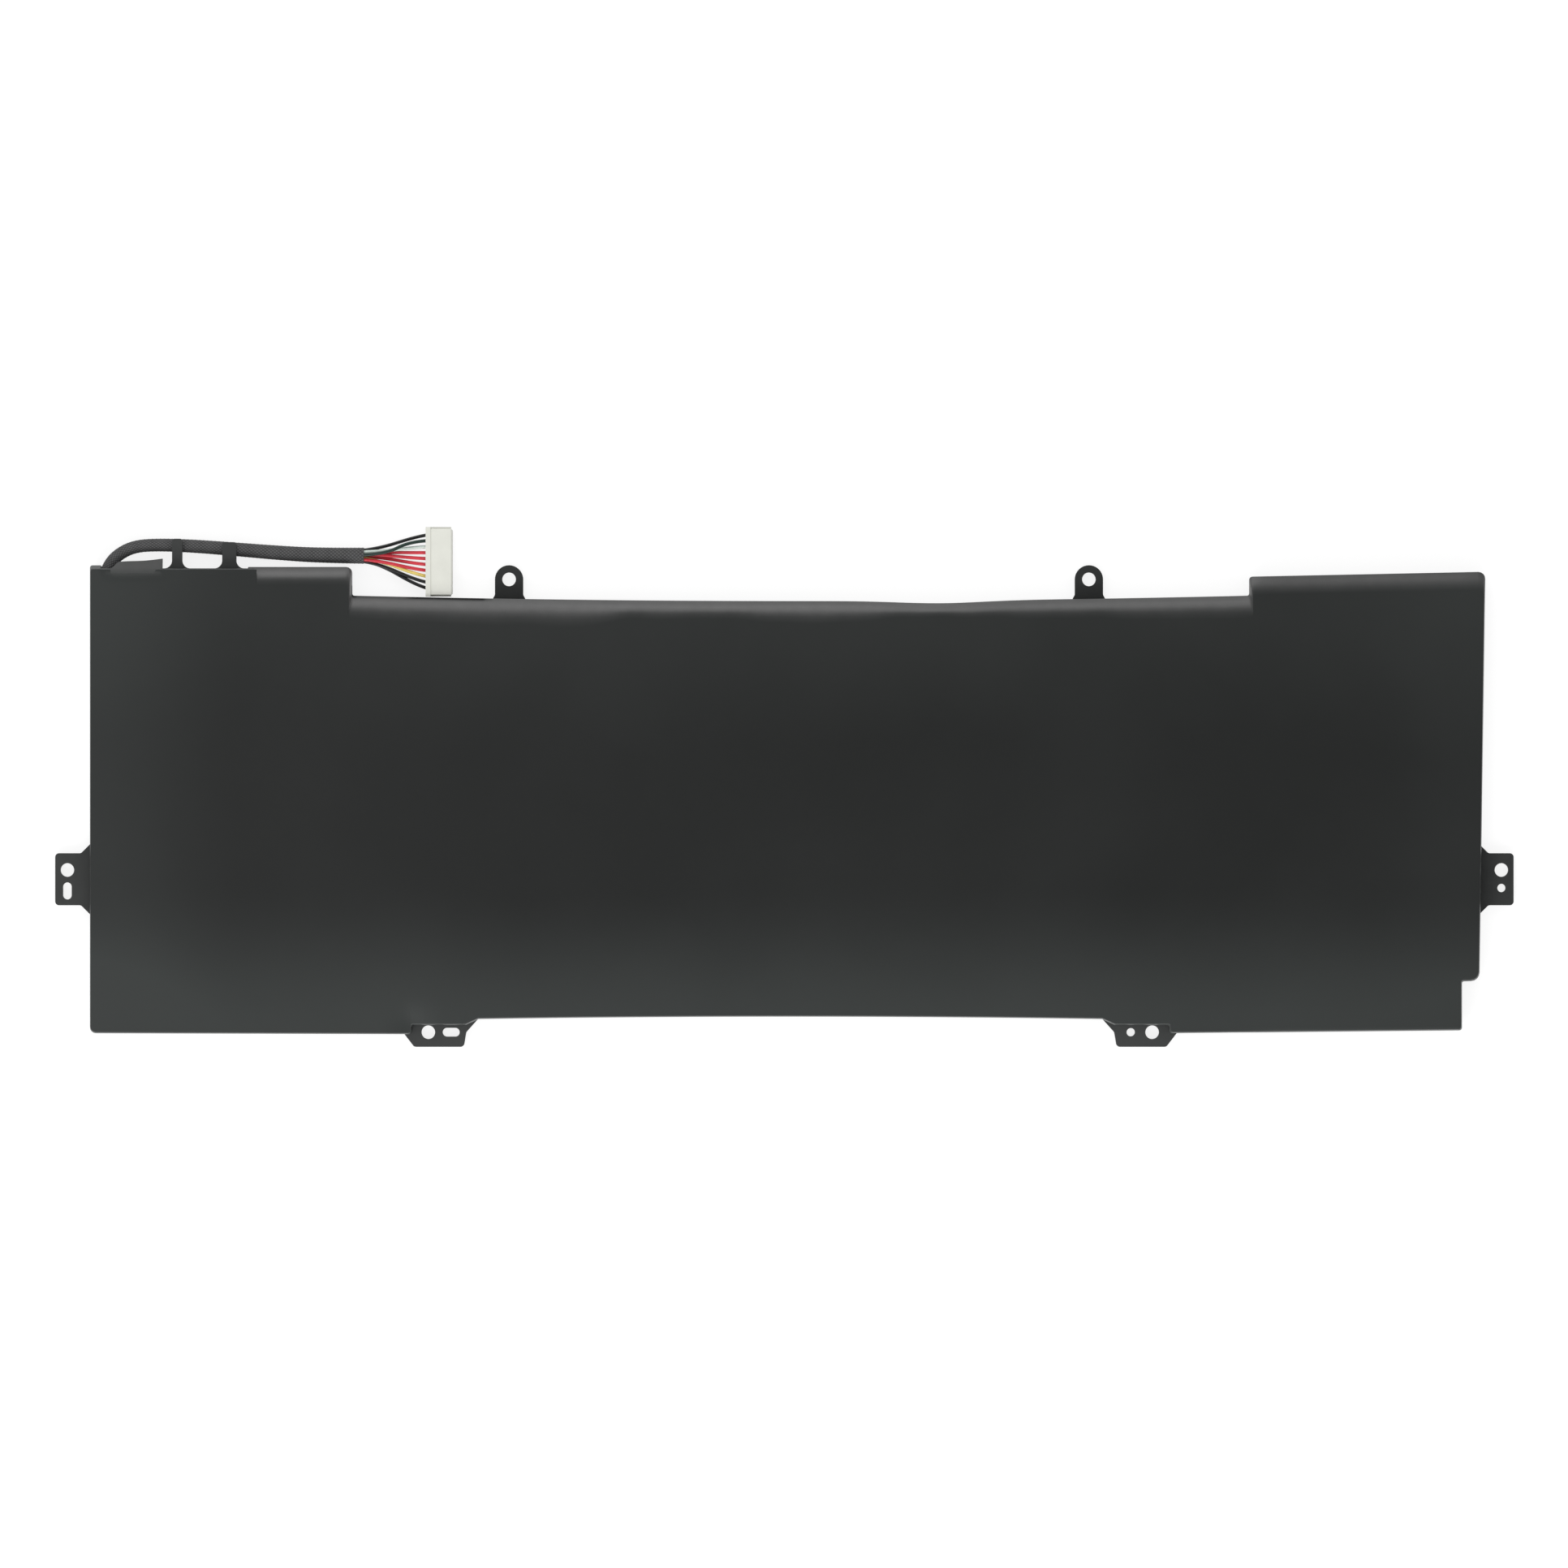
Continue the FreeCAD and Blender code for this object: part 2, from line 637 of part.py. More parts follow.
def make_cell(x):
    """Pouch cell: a body with rounded long edges, seals folded up its sides and a terrace at its tab end."""
    x_from = x + seal_fold
    x_to = x + cell_width - seal_fold
    body = block(x_from, x_to, y_cell_low, y_cell_top, z_cell, z_cell_top)
    long_edges = [edge for edge in body.Edges if abs(edge.tangentAt(edge.FirstParameter).y) > 0.5]
    body = body.makeFillet(cell_edge, long_edges)
    z_seal = (z_cell + z_cell_top - seal_height) / 2
    seals = [
        block(edge, edge + 2 * seal_fold, y_cell_low, y_cell_top, z_seal, z_seal + seal_height)
        for edge in (x, x + cell_width - 2 * seal_fold)
    ]
    terrace = block(
        x_from + terrace_inset,
        x_to - terrace_inset,
        y_cell_top - terrace_inset,
        y_terrace_end,
        z_terrace,
        z_terrace_top,
    )
    return joined([body, terrace] + seals)


def make_tabs(side):
    """The tabs on one side of every cell, laid on their pads."""
    tabs = []
    for x in x_cells:
        middle = x + cell_width / 2 + side * tab_spacing / 2
        y_to = y_board_low + tab_lap
        half = tab_width / 2
        tabs.append(block(middle - half, middle + half, y_terrace_end, y_to, z_pad_top, z_tab_top))
    return Part.makeCompound(tabs)


def make_pads():
    """A weld pad on the board under each tab."""
    pads = []
    for x in x_cells:
        for side in (-1, 1):
            middle = x + cell_width / 2 + side * tab_spacing / 2
            half = tab_width / 2 + pad_margin
            y_to = y_board_low + tab_lap + pad_margin
            pads.append(block(middle - half, middle + half, y_board_low, y_to, z_board_top, z_pad_top))
    return Part.makeCompound(pads)


def make_adhesive():
    """A tape pad under each cell."""
    y_from = y_cell_low + adhesive_inset
    y_to = y_cell_top - adhesive_inset
    pads = [
        block(x + adhesive_inset, x + cell_width - adhesive_inset, y_from, y_to, film, z_cell)
        for x in x_cells
    ]
    return Part.makeCompound(pads)


def make_board():
    """Board along the tab ends, wide in the left block, with holes for the frame's pegs."""
    corners = [
        (x_board_left, y_board_low, board_corner, 0),
        (x_board_right, y_board_low, board_corner, 0),
        (x_board_right, y_board_top, board_corner, 0),
        (x_board_step, y_board_top, board_corner, 0),
        (x_board_step, y_board_wide, board_corner, 0),
        (x_board_left, y_board_wide, board_corner, 0),
    ]
    hole = peg_diameter + 2 * peg_clearance
    middle = (y_board_low + y_board_top) / 2
    z_to = z_board_top + overrun
    holes = [post(x + rib / 2, middle, z_tray - overrun, z_to, hole) for x in x_dividers]
    return prism(corners, z_tray, z_board_top).cut(holes)


def chip(x, y, pins):
    """Chip with a chamfered top and two rows of pins, centred on x and y."""
    half_x = chip_length / 2
    half_y = chip_width / 2
    body = block(x - half_x, x + half_x, y - half_y, y + half_y, z_board_top, z_component_top)
    rim = [edge for edge in body.Edges if edge.BoundBox.ZMin > z_board_top + component_height / 2]
    pieces = [body.makeChamfer(chip_chamfer, rim)]
    for i in range(pins):
        place = x + (i - (pins - 1) / 2) * pin_pitch
        half = pin_width / 2
        reach = half_y + pin_reach
        z_to = z_board_top + pin_height
        pieces.append(block(place - half, place + half, y - reach, y + reach, z_board_top, z_to))
    return joined(pieces)


def two_terminal(x, y, length, width, height):
    """Fuse, resistor or capacitor: a body with a slightly larger terminal at each end."""
    step = terminal_step
    half_x = length / 2
    half_y = width / 2
    z_body = z_board_top + height - step
    body = block(x - half_x + step, x + half_x - step, y - half_y, y + half_y, z_board_top, z_body)
    reach = width * terminal_share
    ends = [
        block(x - half_x, x + half_x, y_end, y_end + reach, z_board_top, z_board_top + height)
        for y_end in (y - half_y, y + half_y - reach)
    ]
    return joined([body] + ends)


def board_components():
    """The components, in a row along the wide part of the board from its inner end, and their paper."""
    y = (y_board_top + y_board_wide) / 2
    x = x_board_step - component_gap
    x_first = x
    made = {}
    packages = [("gauge_chip", gauge_pins), ("discharge_switch", switch_pins), ("charge_switch", switch_pins)]
    for name, pins in packages:
        made[name] = chip(x - chip_length / 2, y, pins)
        x -= chip_length + component_gap
    for name, length in (("sense_resistor", resistor_length), ("board_fuse", fuse_length)):
        made[name] = two_terminal(x - length / 2, y, length, block_width, component_height)
        x -= length + component_gap
    paper = block(x + component_gap, x_first, y - block_width / 2, y + block_width / 2, z_component_top,
                  z_component_top + paper_thickness)
    made["insulating_paper"] = paper
    made["thermistor"] = two_terminal(x - small_length / 2, y, small_length, small_width, small_height)
    capacitors = []
    for i in range(capacitor_count):
        x -= small_length + component_gap / 2
        capacitors.append(two_terminal(x - small_length / 2, y, small_length, small_width, small_height))
    made["filter_capacitors"] = Part.makeCompound(capacitors)
    return made


def make_foam():
    """Foam strip that fills the space over the tabs, up to the film."""
    return block(x_bay_left, x_bay_right, y_foam_low, y_foam_top, z_terrace_top, z_cell_top)


def bundle_places():
    """Places of the wires in the sleeve's end, from its upper side down: a ring of wires round two more."""
    ring = ways - 2
    places = [
        (bundle_ring * math.cos(2 * math.pi * i / ring), bundle_ring * math.sin(2 * math.pi * i / ring))
        for i in range(ring)
    ]
    places += [(bundle_core, 0), (-bundle_core, 0)]
    return sorted(places, key=lambda place: (-round(place[0], 6), -place[1]))


def make_wires():
    """The wires between the sleeve's end and their contacts, fanned out to the connector's ways."""
    end = lead_route[-1]
    wires = {}
    for i, (across, up) in enumerate(bundle_places()):
        start = end + Vec(0, across, up)
        finish = Vec(x_contact, y_ways[i], z_wire)
        points = [start, start + Vec(wire_straight, 0, 0), finish - Vec(wire_straight, 0, 0), finish]
        wires["wire_%d_%s" % (i + 1, wire_colours[i])] = tube(points, wire_diameter)[0]
    return wires


def make_tails():
    """The wires' other ends, from the sleeve's start to three rows of solder points on the board."""
    start = lead_route[0]
    tails = []
    for across, rise in bundle_places():
        begin = start + Vec(-across, -tail_start, rise)
        row = 1 + (rise > bundle_core) - (rise < -bundle_core)
        x = start.x + tail_shift - across * tail_spread
        finish = Vec(x, start.y - tail_drop - row * tail_row, z_board_top + wire_radius)
        reach = finish - begin
        tails.append(Part.makeCylinder(wire_radius, reach.Length, begin, reach))
    return Part.makeCompound(tails)


def make_housing():
    """Crimp housing: a rear flange, guide rails at its ends, and a cavity and lance window for each way."""
    half = pitch * (ways - 1) / 2 + housing_end
    y_from = connector_y - half
    y_to = connector_y + half
    body = block(connector_x, x_mating, y_from + guide_depth, y_to - guide_depth, 0, housing_height)
    front = [edge for edge in body.Edges if edge.BoundBox.XMin > x_mating - front_chamfer]
    body = body.makeChamfer(front_chamfer, front)
    x_flange = connector_x + flange_depth
    flange = block(connector_x, x_flange, y_from, y_to, 0, housing_height + flange_rise)
    z_guide = (housing_height - guide_height) / 2
    guide = block(connector_x, x_mating - front_chamfer, y_from, y_to, z_guide, z_guide + guide_height)
    cutters = []
    for y in y_ways:
        side = cavity_width / 2
        z_to = cavity_floor + cavity_height
        x_from = connector_x - overrun
        cutters.append(block(x_from, x_mating + overrun, y - side, y + side, cavity_floor, z_to))
        x_window = connector_x + window_start
        side = window_width / 2
        x_to = x_window + window_length
        cutters.append(block(x_window, x_to, y - side, y + side, -overrun, cavity_floor + contact_fit))
    return joined([body, flange, guide]).cut(cutters)


def make_contacts():
    """A box contact in each cavity, open at both ends, on the cavity's floor."""
    contacts = []
    for y in y_ways:
        side = contact_width / 2
        z_to = cavity_floor + contact_height
        outer = block(x_contact, x_mating - contact_front, y - side, y + side, cavity_floor, z_to)
        side -= contact_wall
        bore = block(
            x_contact + wire_radius,
            x_mating,
            y - side,
            y + side,
            cavity_floor + contact_wall,
            z_to - contact_wall,
        )
        contacts.append(outer.cut(bore))
    return Part.makeCompound(contacts)


def make_parts():
    """Every piece of the pack, by name."""
    parts = {
        "frame": make_frame(),
        "upper_film": make_upper_film(),
        "lower_film": make_lower_film(),
        "positive_tabs": make_tabs(-1),
        "negative_tabs": make_tabs(1),
        "weld_pads": make_pads(),
        "cell_adhesive": make_adhesive(),
        "protection_board": make_board(),
        "board_foam": make_foam(),
        "lead_tails": make_tails(),
        "connector_housing": make_housing(),
        "crimp_contacts": make_contacts(),
    }
    parts.update({"cell_%d" % (i + 1): make_cell(x) for i, x in enumerate(x_cells)})
    parts.update(board_components())
    parts.update(make_wires())
    sleeve, radii, share, length = tube(lead_route, sleeve_diameter)
    print("lead bends, mm:", [round(radius, 1) for radius in radii])
    print("lead length, mm: %.1f, volume over section times length: %.4f" % (length, share))
    parts["lead_sleeve"] = sleeve
    return parts


os.makedirs("parts", exist_ok=True)
for name, shape in make_parts().items():
    print("%-20s %2d solids %9.2f mm3 valid %s" % (name, len(shape.Solids), shape.Volume, shape.isValid()))
    shape.exportStep("parts/%s.step" % name)
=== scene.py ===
"""Looks of a slim laptop battery pack, laid out as an add-on and run as a script around its CAD frame."""

import math

import bpy
import numpy as np
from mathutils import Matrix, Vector


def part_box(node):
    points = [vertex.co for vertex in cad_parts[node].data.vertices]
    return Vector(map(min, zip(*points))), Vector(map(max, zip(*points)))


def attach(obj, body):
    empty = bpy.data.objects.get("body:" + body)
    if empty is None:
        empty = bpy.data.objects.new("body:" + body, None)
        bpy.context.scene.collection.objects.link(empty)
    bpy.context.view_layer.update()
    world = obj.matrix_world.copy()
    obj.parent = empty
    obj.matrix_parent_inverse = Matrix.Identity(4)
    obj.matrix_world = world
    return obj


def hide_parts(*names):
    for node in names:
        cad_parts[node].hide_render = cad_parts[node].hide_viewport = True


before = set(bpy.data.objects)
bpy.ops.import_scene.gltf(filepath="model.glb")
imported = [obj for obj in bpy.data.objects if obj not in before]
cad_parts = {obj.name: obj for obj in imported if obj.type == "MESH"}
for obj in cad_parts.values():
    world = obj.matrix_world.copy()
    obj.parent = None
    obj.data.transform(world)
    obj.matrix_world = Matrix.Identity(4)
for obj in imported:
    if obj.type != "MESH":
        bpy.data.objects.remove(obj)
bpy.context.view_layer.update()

bl_info = {
    "name": "Laptop Battery Pack",
    "version": (1, 0, 0),
    "blender": (4, 5, 0),
    "location": "View3D > Sidebar > Battery",
    "description": "Dresses a laptop battery pack with its film, lead, connector, finishes and studio",
    "category": "Object",
}

MM = 0.001
BODY = "root"
# Name of the point attribute that holds painted light and shade
PAINTED_LIGHT_ATTRIBUTE = "wear"

# Points that the lead's route turns at, from inside the pack to the sleeve's end, in millimetres
LEAD_ROUTE = (
    (-139.85, 44.1, 3.05),
    (-138.85, 46.85, 2.75),
    (-136.7, 49.15, 2.4),
    (-133.4, 50.72, 2.1),
    (-128.4, 51.0, 1.95),
    (-120.8, 50.7, 1.9),
    (-112.0, 50.0, 1.85),
    (-103.5, 49.3, 1.8),
    (-95.0, 48.8, 1.75),
    (-86.4, 48.75, 1.75),
)
# Edges that the film and the frame are painted lighter towards, which is painted light: the axis across the
# edge, where the lightening starts and where it is strongest, in millimetres, and how strong it is there
FILM_EDGE_LIGHT = (
    ("Y", -18.0, -48.9, 1.0),
    ("Y", 5.0, 46.1, 0.4),
    ("X", -111.0, -142.3, 0.45),
    ("X", 114.5, 143.1, 0.2),
)
# Painted light on the frame's lugs and hooks
FRAME_EDGE_LIGHT = (
    ("Y", -18.0, -48.9, 1.0),
    ("X", -95.0, -120.0, 0.5),
    ("X", 120.0, 143.0, 0.2),
)
# Painted highlight over a wide shoulder: how far in from its edge, as a share of its width, and how strong
# the painted highlight is there
HIGHLIGHT_PLACES = (0.0, 0.1, 0.3, 0.5, 0.7, 1.0)
HIGHLIGHT_LEVELS = (0.55, 0.6, 0.97, 0.64, 0.28, 0.0)
# Painted shadow line along the left of the upper waist's edge: x in millimetres and how dark it is there
SHADOW_LINE_PLACES = (-89.6, -89.0, -88.2, -87.2, -80.0, -76.0, -61.0, -59.5)
SHADOW_LINE_LEVELS = (0.0, 1.0, 1.0, 0.4, 0.4, 1.0, 1.0, 0.0)
SHADOW_LINE_TOP = 43.0
# Edges of the film's outline, numbered by the corner that each starts from, and the points round a corner
WAIST_LOW_EDGE = 4
RIGHT_EDGE = 11
RIGHT_TOP_EDGE = 12
STEP_RIGHT_EDGE = 13
WAIST_TOP_EDGE = 14
STEP_LEFT_EDGE = 15
HOOKS_END_EDGE = 17
LEAD_EDGES = slice(17, 25)
ARC_POINTS = 5
# How far, and how soon on the way up the shoulder, the lead's notches fade out
FADE_MOST, FADE_SPEED = 0.97, 2.2
# Rows of the film's mesh up its skirt, its shoulder and its face, and how the face's rows crowd to the edge
SKIRT_ROWS = (0.35, 0.7, 1.0)
SHOULDER_ROWS = 12
FACE_ROWS = 24
FACE_CROWDING = 1.35
LIP_HEIGHT = 1.2
# Powers of the shoulder's curve, on the left and on the right block
SHOULDER_POWER, RIGHT_POWER = 2.5, 1.55
# The face's middle line and the least gap between its points, in millimetres
SPINE_Y, SPINE_GAP = -2.0, 0.02
# Bows of the waist's edges in millimetres: the lower one's rise, and the upper one's fall with a dip at an x
LOW_RISE, TOP_FALL, TOP_DIP = 0.5, 1.1, 0.55
TOP_DIP_PLACE = (32.0, 12.0)
# Waves of the upper waist's border in millimetres: steps with a start and a run, bells with a middle and a
# width, and ripples with a pace and a phase, each after its height
BORDER_LEVEL = -0.98
BORDER_STEPS = ((1.68, -42.0, 12.0), (-1.12, 50.0, 45.0))
BORDER_BELLS = ((-1.05, 5.0, 9.0), (1.05, 32.0, 10.0))
BORDER_RIPPLES = ((0.14, 3.1, 0.0), (0.098, 1.7, 1.0))
# The dent above the lower left lug, and the slump of the film towards the flap, in millimetres
DENT_X, DENT_Y, DENT_WIDTH, DENT_DEPTH = -76.6, -47.6, 3.0, 0.45
SLUMP_LEFT, SLUMP_RIGHT, SLUMP_Y, SLUMP_SLOPE, SLUMP_EASE = -140.6, -126.4, 44.0, 0.42, 0.6
WIRE_COLOURS = ("black", "green", "white", "red", "red", "red", "red", "yellow", "black", "black")
WIRE_NAMES = tuple(f"wire_{i + 1}_{colour}" for i, colour in enumerate(WIRE_COLOURS))
CROSSING_WIRE = "wire_2_green"
WIRE_ROWS, WIRE_SIDES = 48, 14
# The angle in degrees past which an edge of a round piece is sharp
ROUND_PIECE = 60.0
# The camera's sensor in millimetres, and the height that it frames and the gap under the pack in metres
SENSOR, VIEW_LEVEL, FLOOR_GAP = 36.0, 0.004, 0.0001
# How far up a ray points where the white surroundings start and end their turn to the dark ceiling
CEILING_HEIGHTS = (0.12, 0.5)
# The floor's own grey, and the light of its own that it shows to the camera and in reflections
FLOOR_GREY, FLOOR_GLOW = 0.26, 0.82


def length(name, description, default):
    """A length property in metres, given in millimetres."""
    return bpy.props.FloatProperty(
        name=name, description=description, default=default * MM, precision=5, unit="LENGTH"
    )


def share(name, description, default):
    """A property from nought to one."""
    return bpy.props.FloatProperty(
        name=name, description=description, default=default, min=0, max=1, subtype="FACTOR"
    )


def strength(name, description, default):
    """A property for the strength of a light, which is never below nought."""
    return bpy.props.FloatProperty(name=name, description=description, default=default, min=0)


def colour(name, description, default):
    """A linear colour property."""
    return bpy.props.FloatVectorProperty(
        name=name, description=description, default=default, min=0, max=1, size=3, subtype="COLOR"
    )


class FilmSettings(bpy.types.PropertyGroup):
    """Sizes and colour of the film over the pack's face."""

    shoulder_top: length("Upper shoulder", "Width of the sloping film along the raised upper edges", 3.7)
    shoulder_right: length("Right shoulder", "Width of the sloping film over the right block", 3.8)
    shoulder_waist: length("Waist shoulder", "Width of the sloping film along the upper waist", 4.5)
    shoulder_step: length("Step shoulder", "Width of the sloping film at the waist's two steps", 0.7)
    shoulder_bottom: length("Lower shoulder", "Width of the sloping film along the lower edges", 0.3)
    shoulder_side: length("Side shoulder", "Width of the sloping film along the left and right edges", 0.25)
    shoulder_lead: length("Lead shoulder", "Width of the sloping film beside the lead's hooks", 0.6)
    shoulder_drop: length("Shoulder drop", "Face of the film to the top of its skirt", 2.0)
    right_drop: length("Right drop", "Face of the film to the top of its skirt on the right block", 1.1)
    thickness: length("Thickness", "Thickness of the film", 0.2)
    spacing: length("Spacing", "Spacing of the columns of the film's mesh", 2.2)
    slack: length("Slack", "Height of the slow waves in the film's face", 0.04)
    tint: colour("Film", "Colour of the matt film", (0.0082, 0.0097, 0.0093))
    # Painted light: the colour that the film is painted towards its edges
    edge_lit: colour("Dusty film", "Colour of the film where dust greys it", (0.031, 0.036, 0.0345))
    # Painted highlight: the colour of the highlight painted along the wide shoulders
    painted_highlight: colour("Worn film", "Colour of the film where its shoulders are scuffed", (0.080, 0.079, 0.079))
    # Painted shadow: the colour of the shadow line painted along the upper waist's edge
    shadow_tint: colour("Grime", "Colour of the grime along the waist's edge", (0.002, 0.002, 0.002))
    gloss: share("Roughness", "Roughness of the film's face", 0.42)


class LeadSettings(bpy.types.PropertyGroup):
    """Sizes and colours of the sleeved lead and its fanned wires."""

    sleeve_start: length("Sleeve at the pack", "Diameter of the sleeve where it leaves the pack", 2.5)
    sleeve_end: length("Sleeve at its end", "Diameter of the sleeve at its open end", 3.25)
    weave_depth: length("Weave depth", "Height of the sleeve's woven strands", 0.1)
    weave_pitch: length("Weave pitch", "Length of one crossing of the strands", 1.6)
    strands: bpy.props.IntProperty(name="Strands", description="Strands round the sleeve", default=14, min=4)
    wire: length("Wire", "Diameter of a wire with its insulation", 0.7)
    sleeve_tint: colour("Sleeve", "Colour of the woven sleeve", (0.0565, 0.0565, 0.0575))
    black: colour("Black wire", "Colour of the black insulation", (0.012, 0.013, 0.013))
    green: colour("Green wire", "Colour of the dark green insulation", (0.012, 0.035, 0.026))
    white: colour("White wire", "Colour of the pale insulation", (0.68, 0.78, 0.72))
    red: colour("Red wire", "Colour of the red insulation", (0.62, 0.025, 0.045))
    yellow: colour("Yellow wire", "Colour of the yellow insulation", (0.78, 0.62, 0.16))


class FinishSettings(bpy.types.PropertyGroup):
    """Colours of the pieces that come from the CAD model."""

    plastic: colour("Frame", "Colour of the moulded frame", (0.023, 0.025, 0.0245))
    edge_lit: colour("Dusty frame", "Colour of the frame where dust greys it", (0.055, 0.058, 0.057))
    # Painted light: the colour that the frame is painted towards its lower edge and ends
    nylon: colour("Connector", "Colour of the connector's nylon", (0.74, 0.745, 0.68))
    foil: colour("Pouch", "Colour of the cells' foil", (0.6, 0.61, 0.62))
    nickel: colour("Nickel", "Colour of the tabs and pads", (0.6, 0.57, 0.52))
    mask: colour("Board", "Colour of the board's solder mask", (0.015, 0.1, 0.05))
    paper: colour("Paper", "Colour of the insulating paper", (0.42, 0.36, 0.24))
    ceramic: colour("Components", "Colour of the small components", (0.3, 0.24, 0.17))


class StageSettings(bpy.types.PropertyGroup):
    """The camera, the floor and the studio light."""

    view_width: length("View width", "Width of the picture at the pack", 322.0)
    view_x: length("View centre X", "Middle of the picture along the pack", -0.08)
    view_y: length("View centre Y", "Middle of the picture across the pack", 1.83)
    camera_height: length("Camera height", "Height of the camera over the pack", 2500.0)
    floor_size: length("Floor", "Side of the square floor", 6000.0)
    world: strength("World", "Strength of the light all round", 0.64)
    ceiling: strength("Ceiling", "How bright the ceiling shows in reflections", 0.08)
    top_box: strength("Top softbox", "Power of the softbox beyond the lead, in watts", 4.0)
    left_box: strength("Left softbox", "Power of the softbox over the left end, in watts", 0.8)
    low_box: strength("Lower softbox", "Power of the softbox before the lower edge, in watts", 8.5)


def smooth(t):
    """Smooth step: three t squared less two t cubed, with t held between nought and one."""
    t = np.clip(t, 0.0, 1.0)
    return t * t * (3.0 - 2.0 * t)


def unit(vectors):
    """Vectors scaled to length one along their last axis."""
    return vectors / np.linalg.norm(vectors, axis=-1, keepdims=True)


def mesh_piece(name, points, faces, material, sharp=40.0, wear=None):
    """A piece that rides on the pack, from points, faces and painted light and shade, smooth but for edges
    past an angle.
    """
    mesh = bpy.data.meshes.new(name)
    mesh.from_pydata(points.tolist(), [], faces)
    if wear is not None:
        mesh.attributes.new(PAINTED_LIGHT_ATTRIBUTE, "FLOAT", "POINT").data.foreach_set("value", wear)
    mesh.polygons.foreach_set("use_smooth", np.ones(len(mesh.polygons), bool))
    mesh.set_sharp_from_angle(angle=math.radians(sharp))
    mesh.materials.append(material)
    piece = bpy.data.objects.new(name, mesh)
    bpy.context.scene.collection.objects.link(piece)
    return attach(piece, BODY)


def grid_faces(rows, columns, closed):
    """Four-sided faces between the rows and columns of a grid; closed joins the last column to the first."""
    across = np.arange(columns if closed else columns - 1)
    ahead = (across + 1) % columns
    this_row = np.arange(rows - 1)[:, None] * columns
    next_row = this_row + columns
    corners = [this_row + across, this_row + ahead, next_row + ahead, next_row + across]
    return np.stack(corners, -1).reshape(-1, 4)


def put(tree, kind, inputs=None, **settings):
    """Adds a node with its own settings, and sets each named input or links a socket to it."""
    made = tree.nodes.new(kind)
    for key, value in settings.items():
        setattr(made, key, value)
    for key, value in (inputs or {}).items():
        if isinstance(value, bpy.types.NodeSocket):
            tree.links.new(value, made.inputs[key])
        else:
            made.inputs[key].default_value = value
    return made


def ramp(tree, factor, low, high, start=0.3, end=0.7):
    """A colour that goes from low to high as a factor goes from start to end."""
    made = put(tree, "ShaderNodeValToRGB", {"Fac": factor})
    first, last = made.color_ramp.elements
    first.position, first.color = start, (*low, 1.0)
    last.position, last.color = end, (*high, 1.0)
    return made.outputs["Color"]


def spread(tree, factor, low, high):
    """A number that goes from low to high as a factor goes from nought to one."""
    inputs = {"Value": factor, "To Min": low, "To Max": high}
    return put(tree, "ShaderNodeMapRange", inputs).outputs["Result"]


def combine(tree, operation, first, second, clamp=False):
    """The result of a math node on two numbers, held between nought and one where clamp is set."""
    inputs = {0: first, 1: second}
    return put(tree, "ShaderNodeMath", inputs, operation=operation, use_clamp=clamp).outputs[0]


def mix(tree, factor, first, second):
    """A colour that goes from a first socket to a second colour as a factor goes from nought to one."""
    inputs = {0: factor, 6: first, 7: (*second, 1.0)}
    return put(tree, "ShaderNodeMix", inputs, data_type="RGBA").outputs[2]


def painted_light_share(tree):
    """The painted light and shade that the piece's own mesh holds at each point: painted highlights and
    lightening above nought, a painted shadow line below nought.
    """
    return put(tree, "ShaderNodeAttribute", attribute_name=PAINTED_LIGHT_ATTRIBUTE).outputs["Fac"]


def new_material(name):
    """A new material with a Principled shader: the material, its node tree and the shader."""
    material = bpy.data.materials.new(name)
    material.use_nodes = True
    tree = material.node_tree
    return material, tree, tree.nodes["Principled BSDF"]


def noise(tree, vector, size, detail=3.0):
    """Noise whose grains are about as large as a size in metres."""
    inputs = {"Vector": vector, "Scale": 1.0 / size, "Detail": detail}
    return put(tree, "ShaderNodeTexNoise", inputs).outputs["Fac"]


def bump(tree, shader, height, depth, normal=None):
    """Bumps of a depth in metres on a shader, over an earlier bump if one is given."""
    inputs = {"Height": height, "Distance": depth, "Strength": 1.0}
    if normal:
        inputs["Normal"] = normal
    made = put(tree, "ShaderNodeBump", inputs)
    tree.links.new(made.outputs["Normal"], shader.inputs["Normal"])
    return made.outputs["Normal"]


def grained(name, tint, rough, grain, depth, variation=0.15, metallic=0.0, patch=12.0):
    """A finish with fine grains, and with colour and roughness that drift over patches of many grains."""
    material, tree, shader = new_material(name)
    where = put(tree, "ShaderNodeTexCoord").outputs["Object"]
    fine = noise(tree, where, grain * MM)
    broad = noise(tree, where, grain * patch * MM, 2.0)
    darker = [channel * (1.0 - variation) for channel in tint]
    lighter = [min(1.0, channel * (1.0 + variation)) for channel in tint]
    tree.links.new(ramp(tree, broad, darker, lighter), shader.inputs["Base Color"])
    drift = 0.07
    tree.links.new(spread(tree, broad, rough - drift, rough + drift), shader.inputs["Roughness"])
    shader.inputs["Metallic"].default_value = metallic
    bump(tree, shader, fine, depth * MM)
    return material


def edge_light_share(tree, where, smears, edges):
    """How much lighter each place is painted: a little up and down by the smears, plus a smooth step up
    towards each of some edges, which is painted light.
    """
    place = put(tree, "ShaderNodeSeparateXYZ", {0: where})
    lightening = spread(tree, smears, -0.12, 0.12)
    for axis, start, end, most in edges:
        inputs = {
            "Value": place.outputs[axis], "From Min": start * MM, "From Max": end * MM, "To Max": most,
        }
        edge = put(tree, "ShaderNodeMapRange", inputs, interpolation_type="SMOOTHSTEP")
        lightening = combine(tree, "ADD", lightening, edge.outputs["Result"])
    return lightening


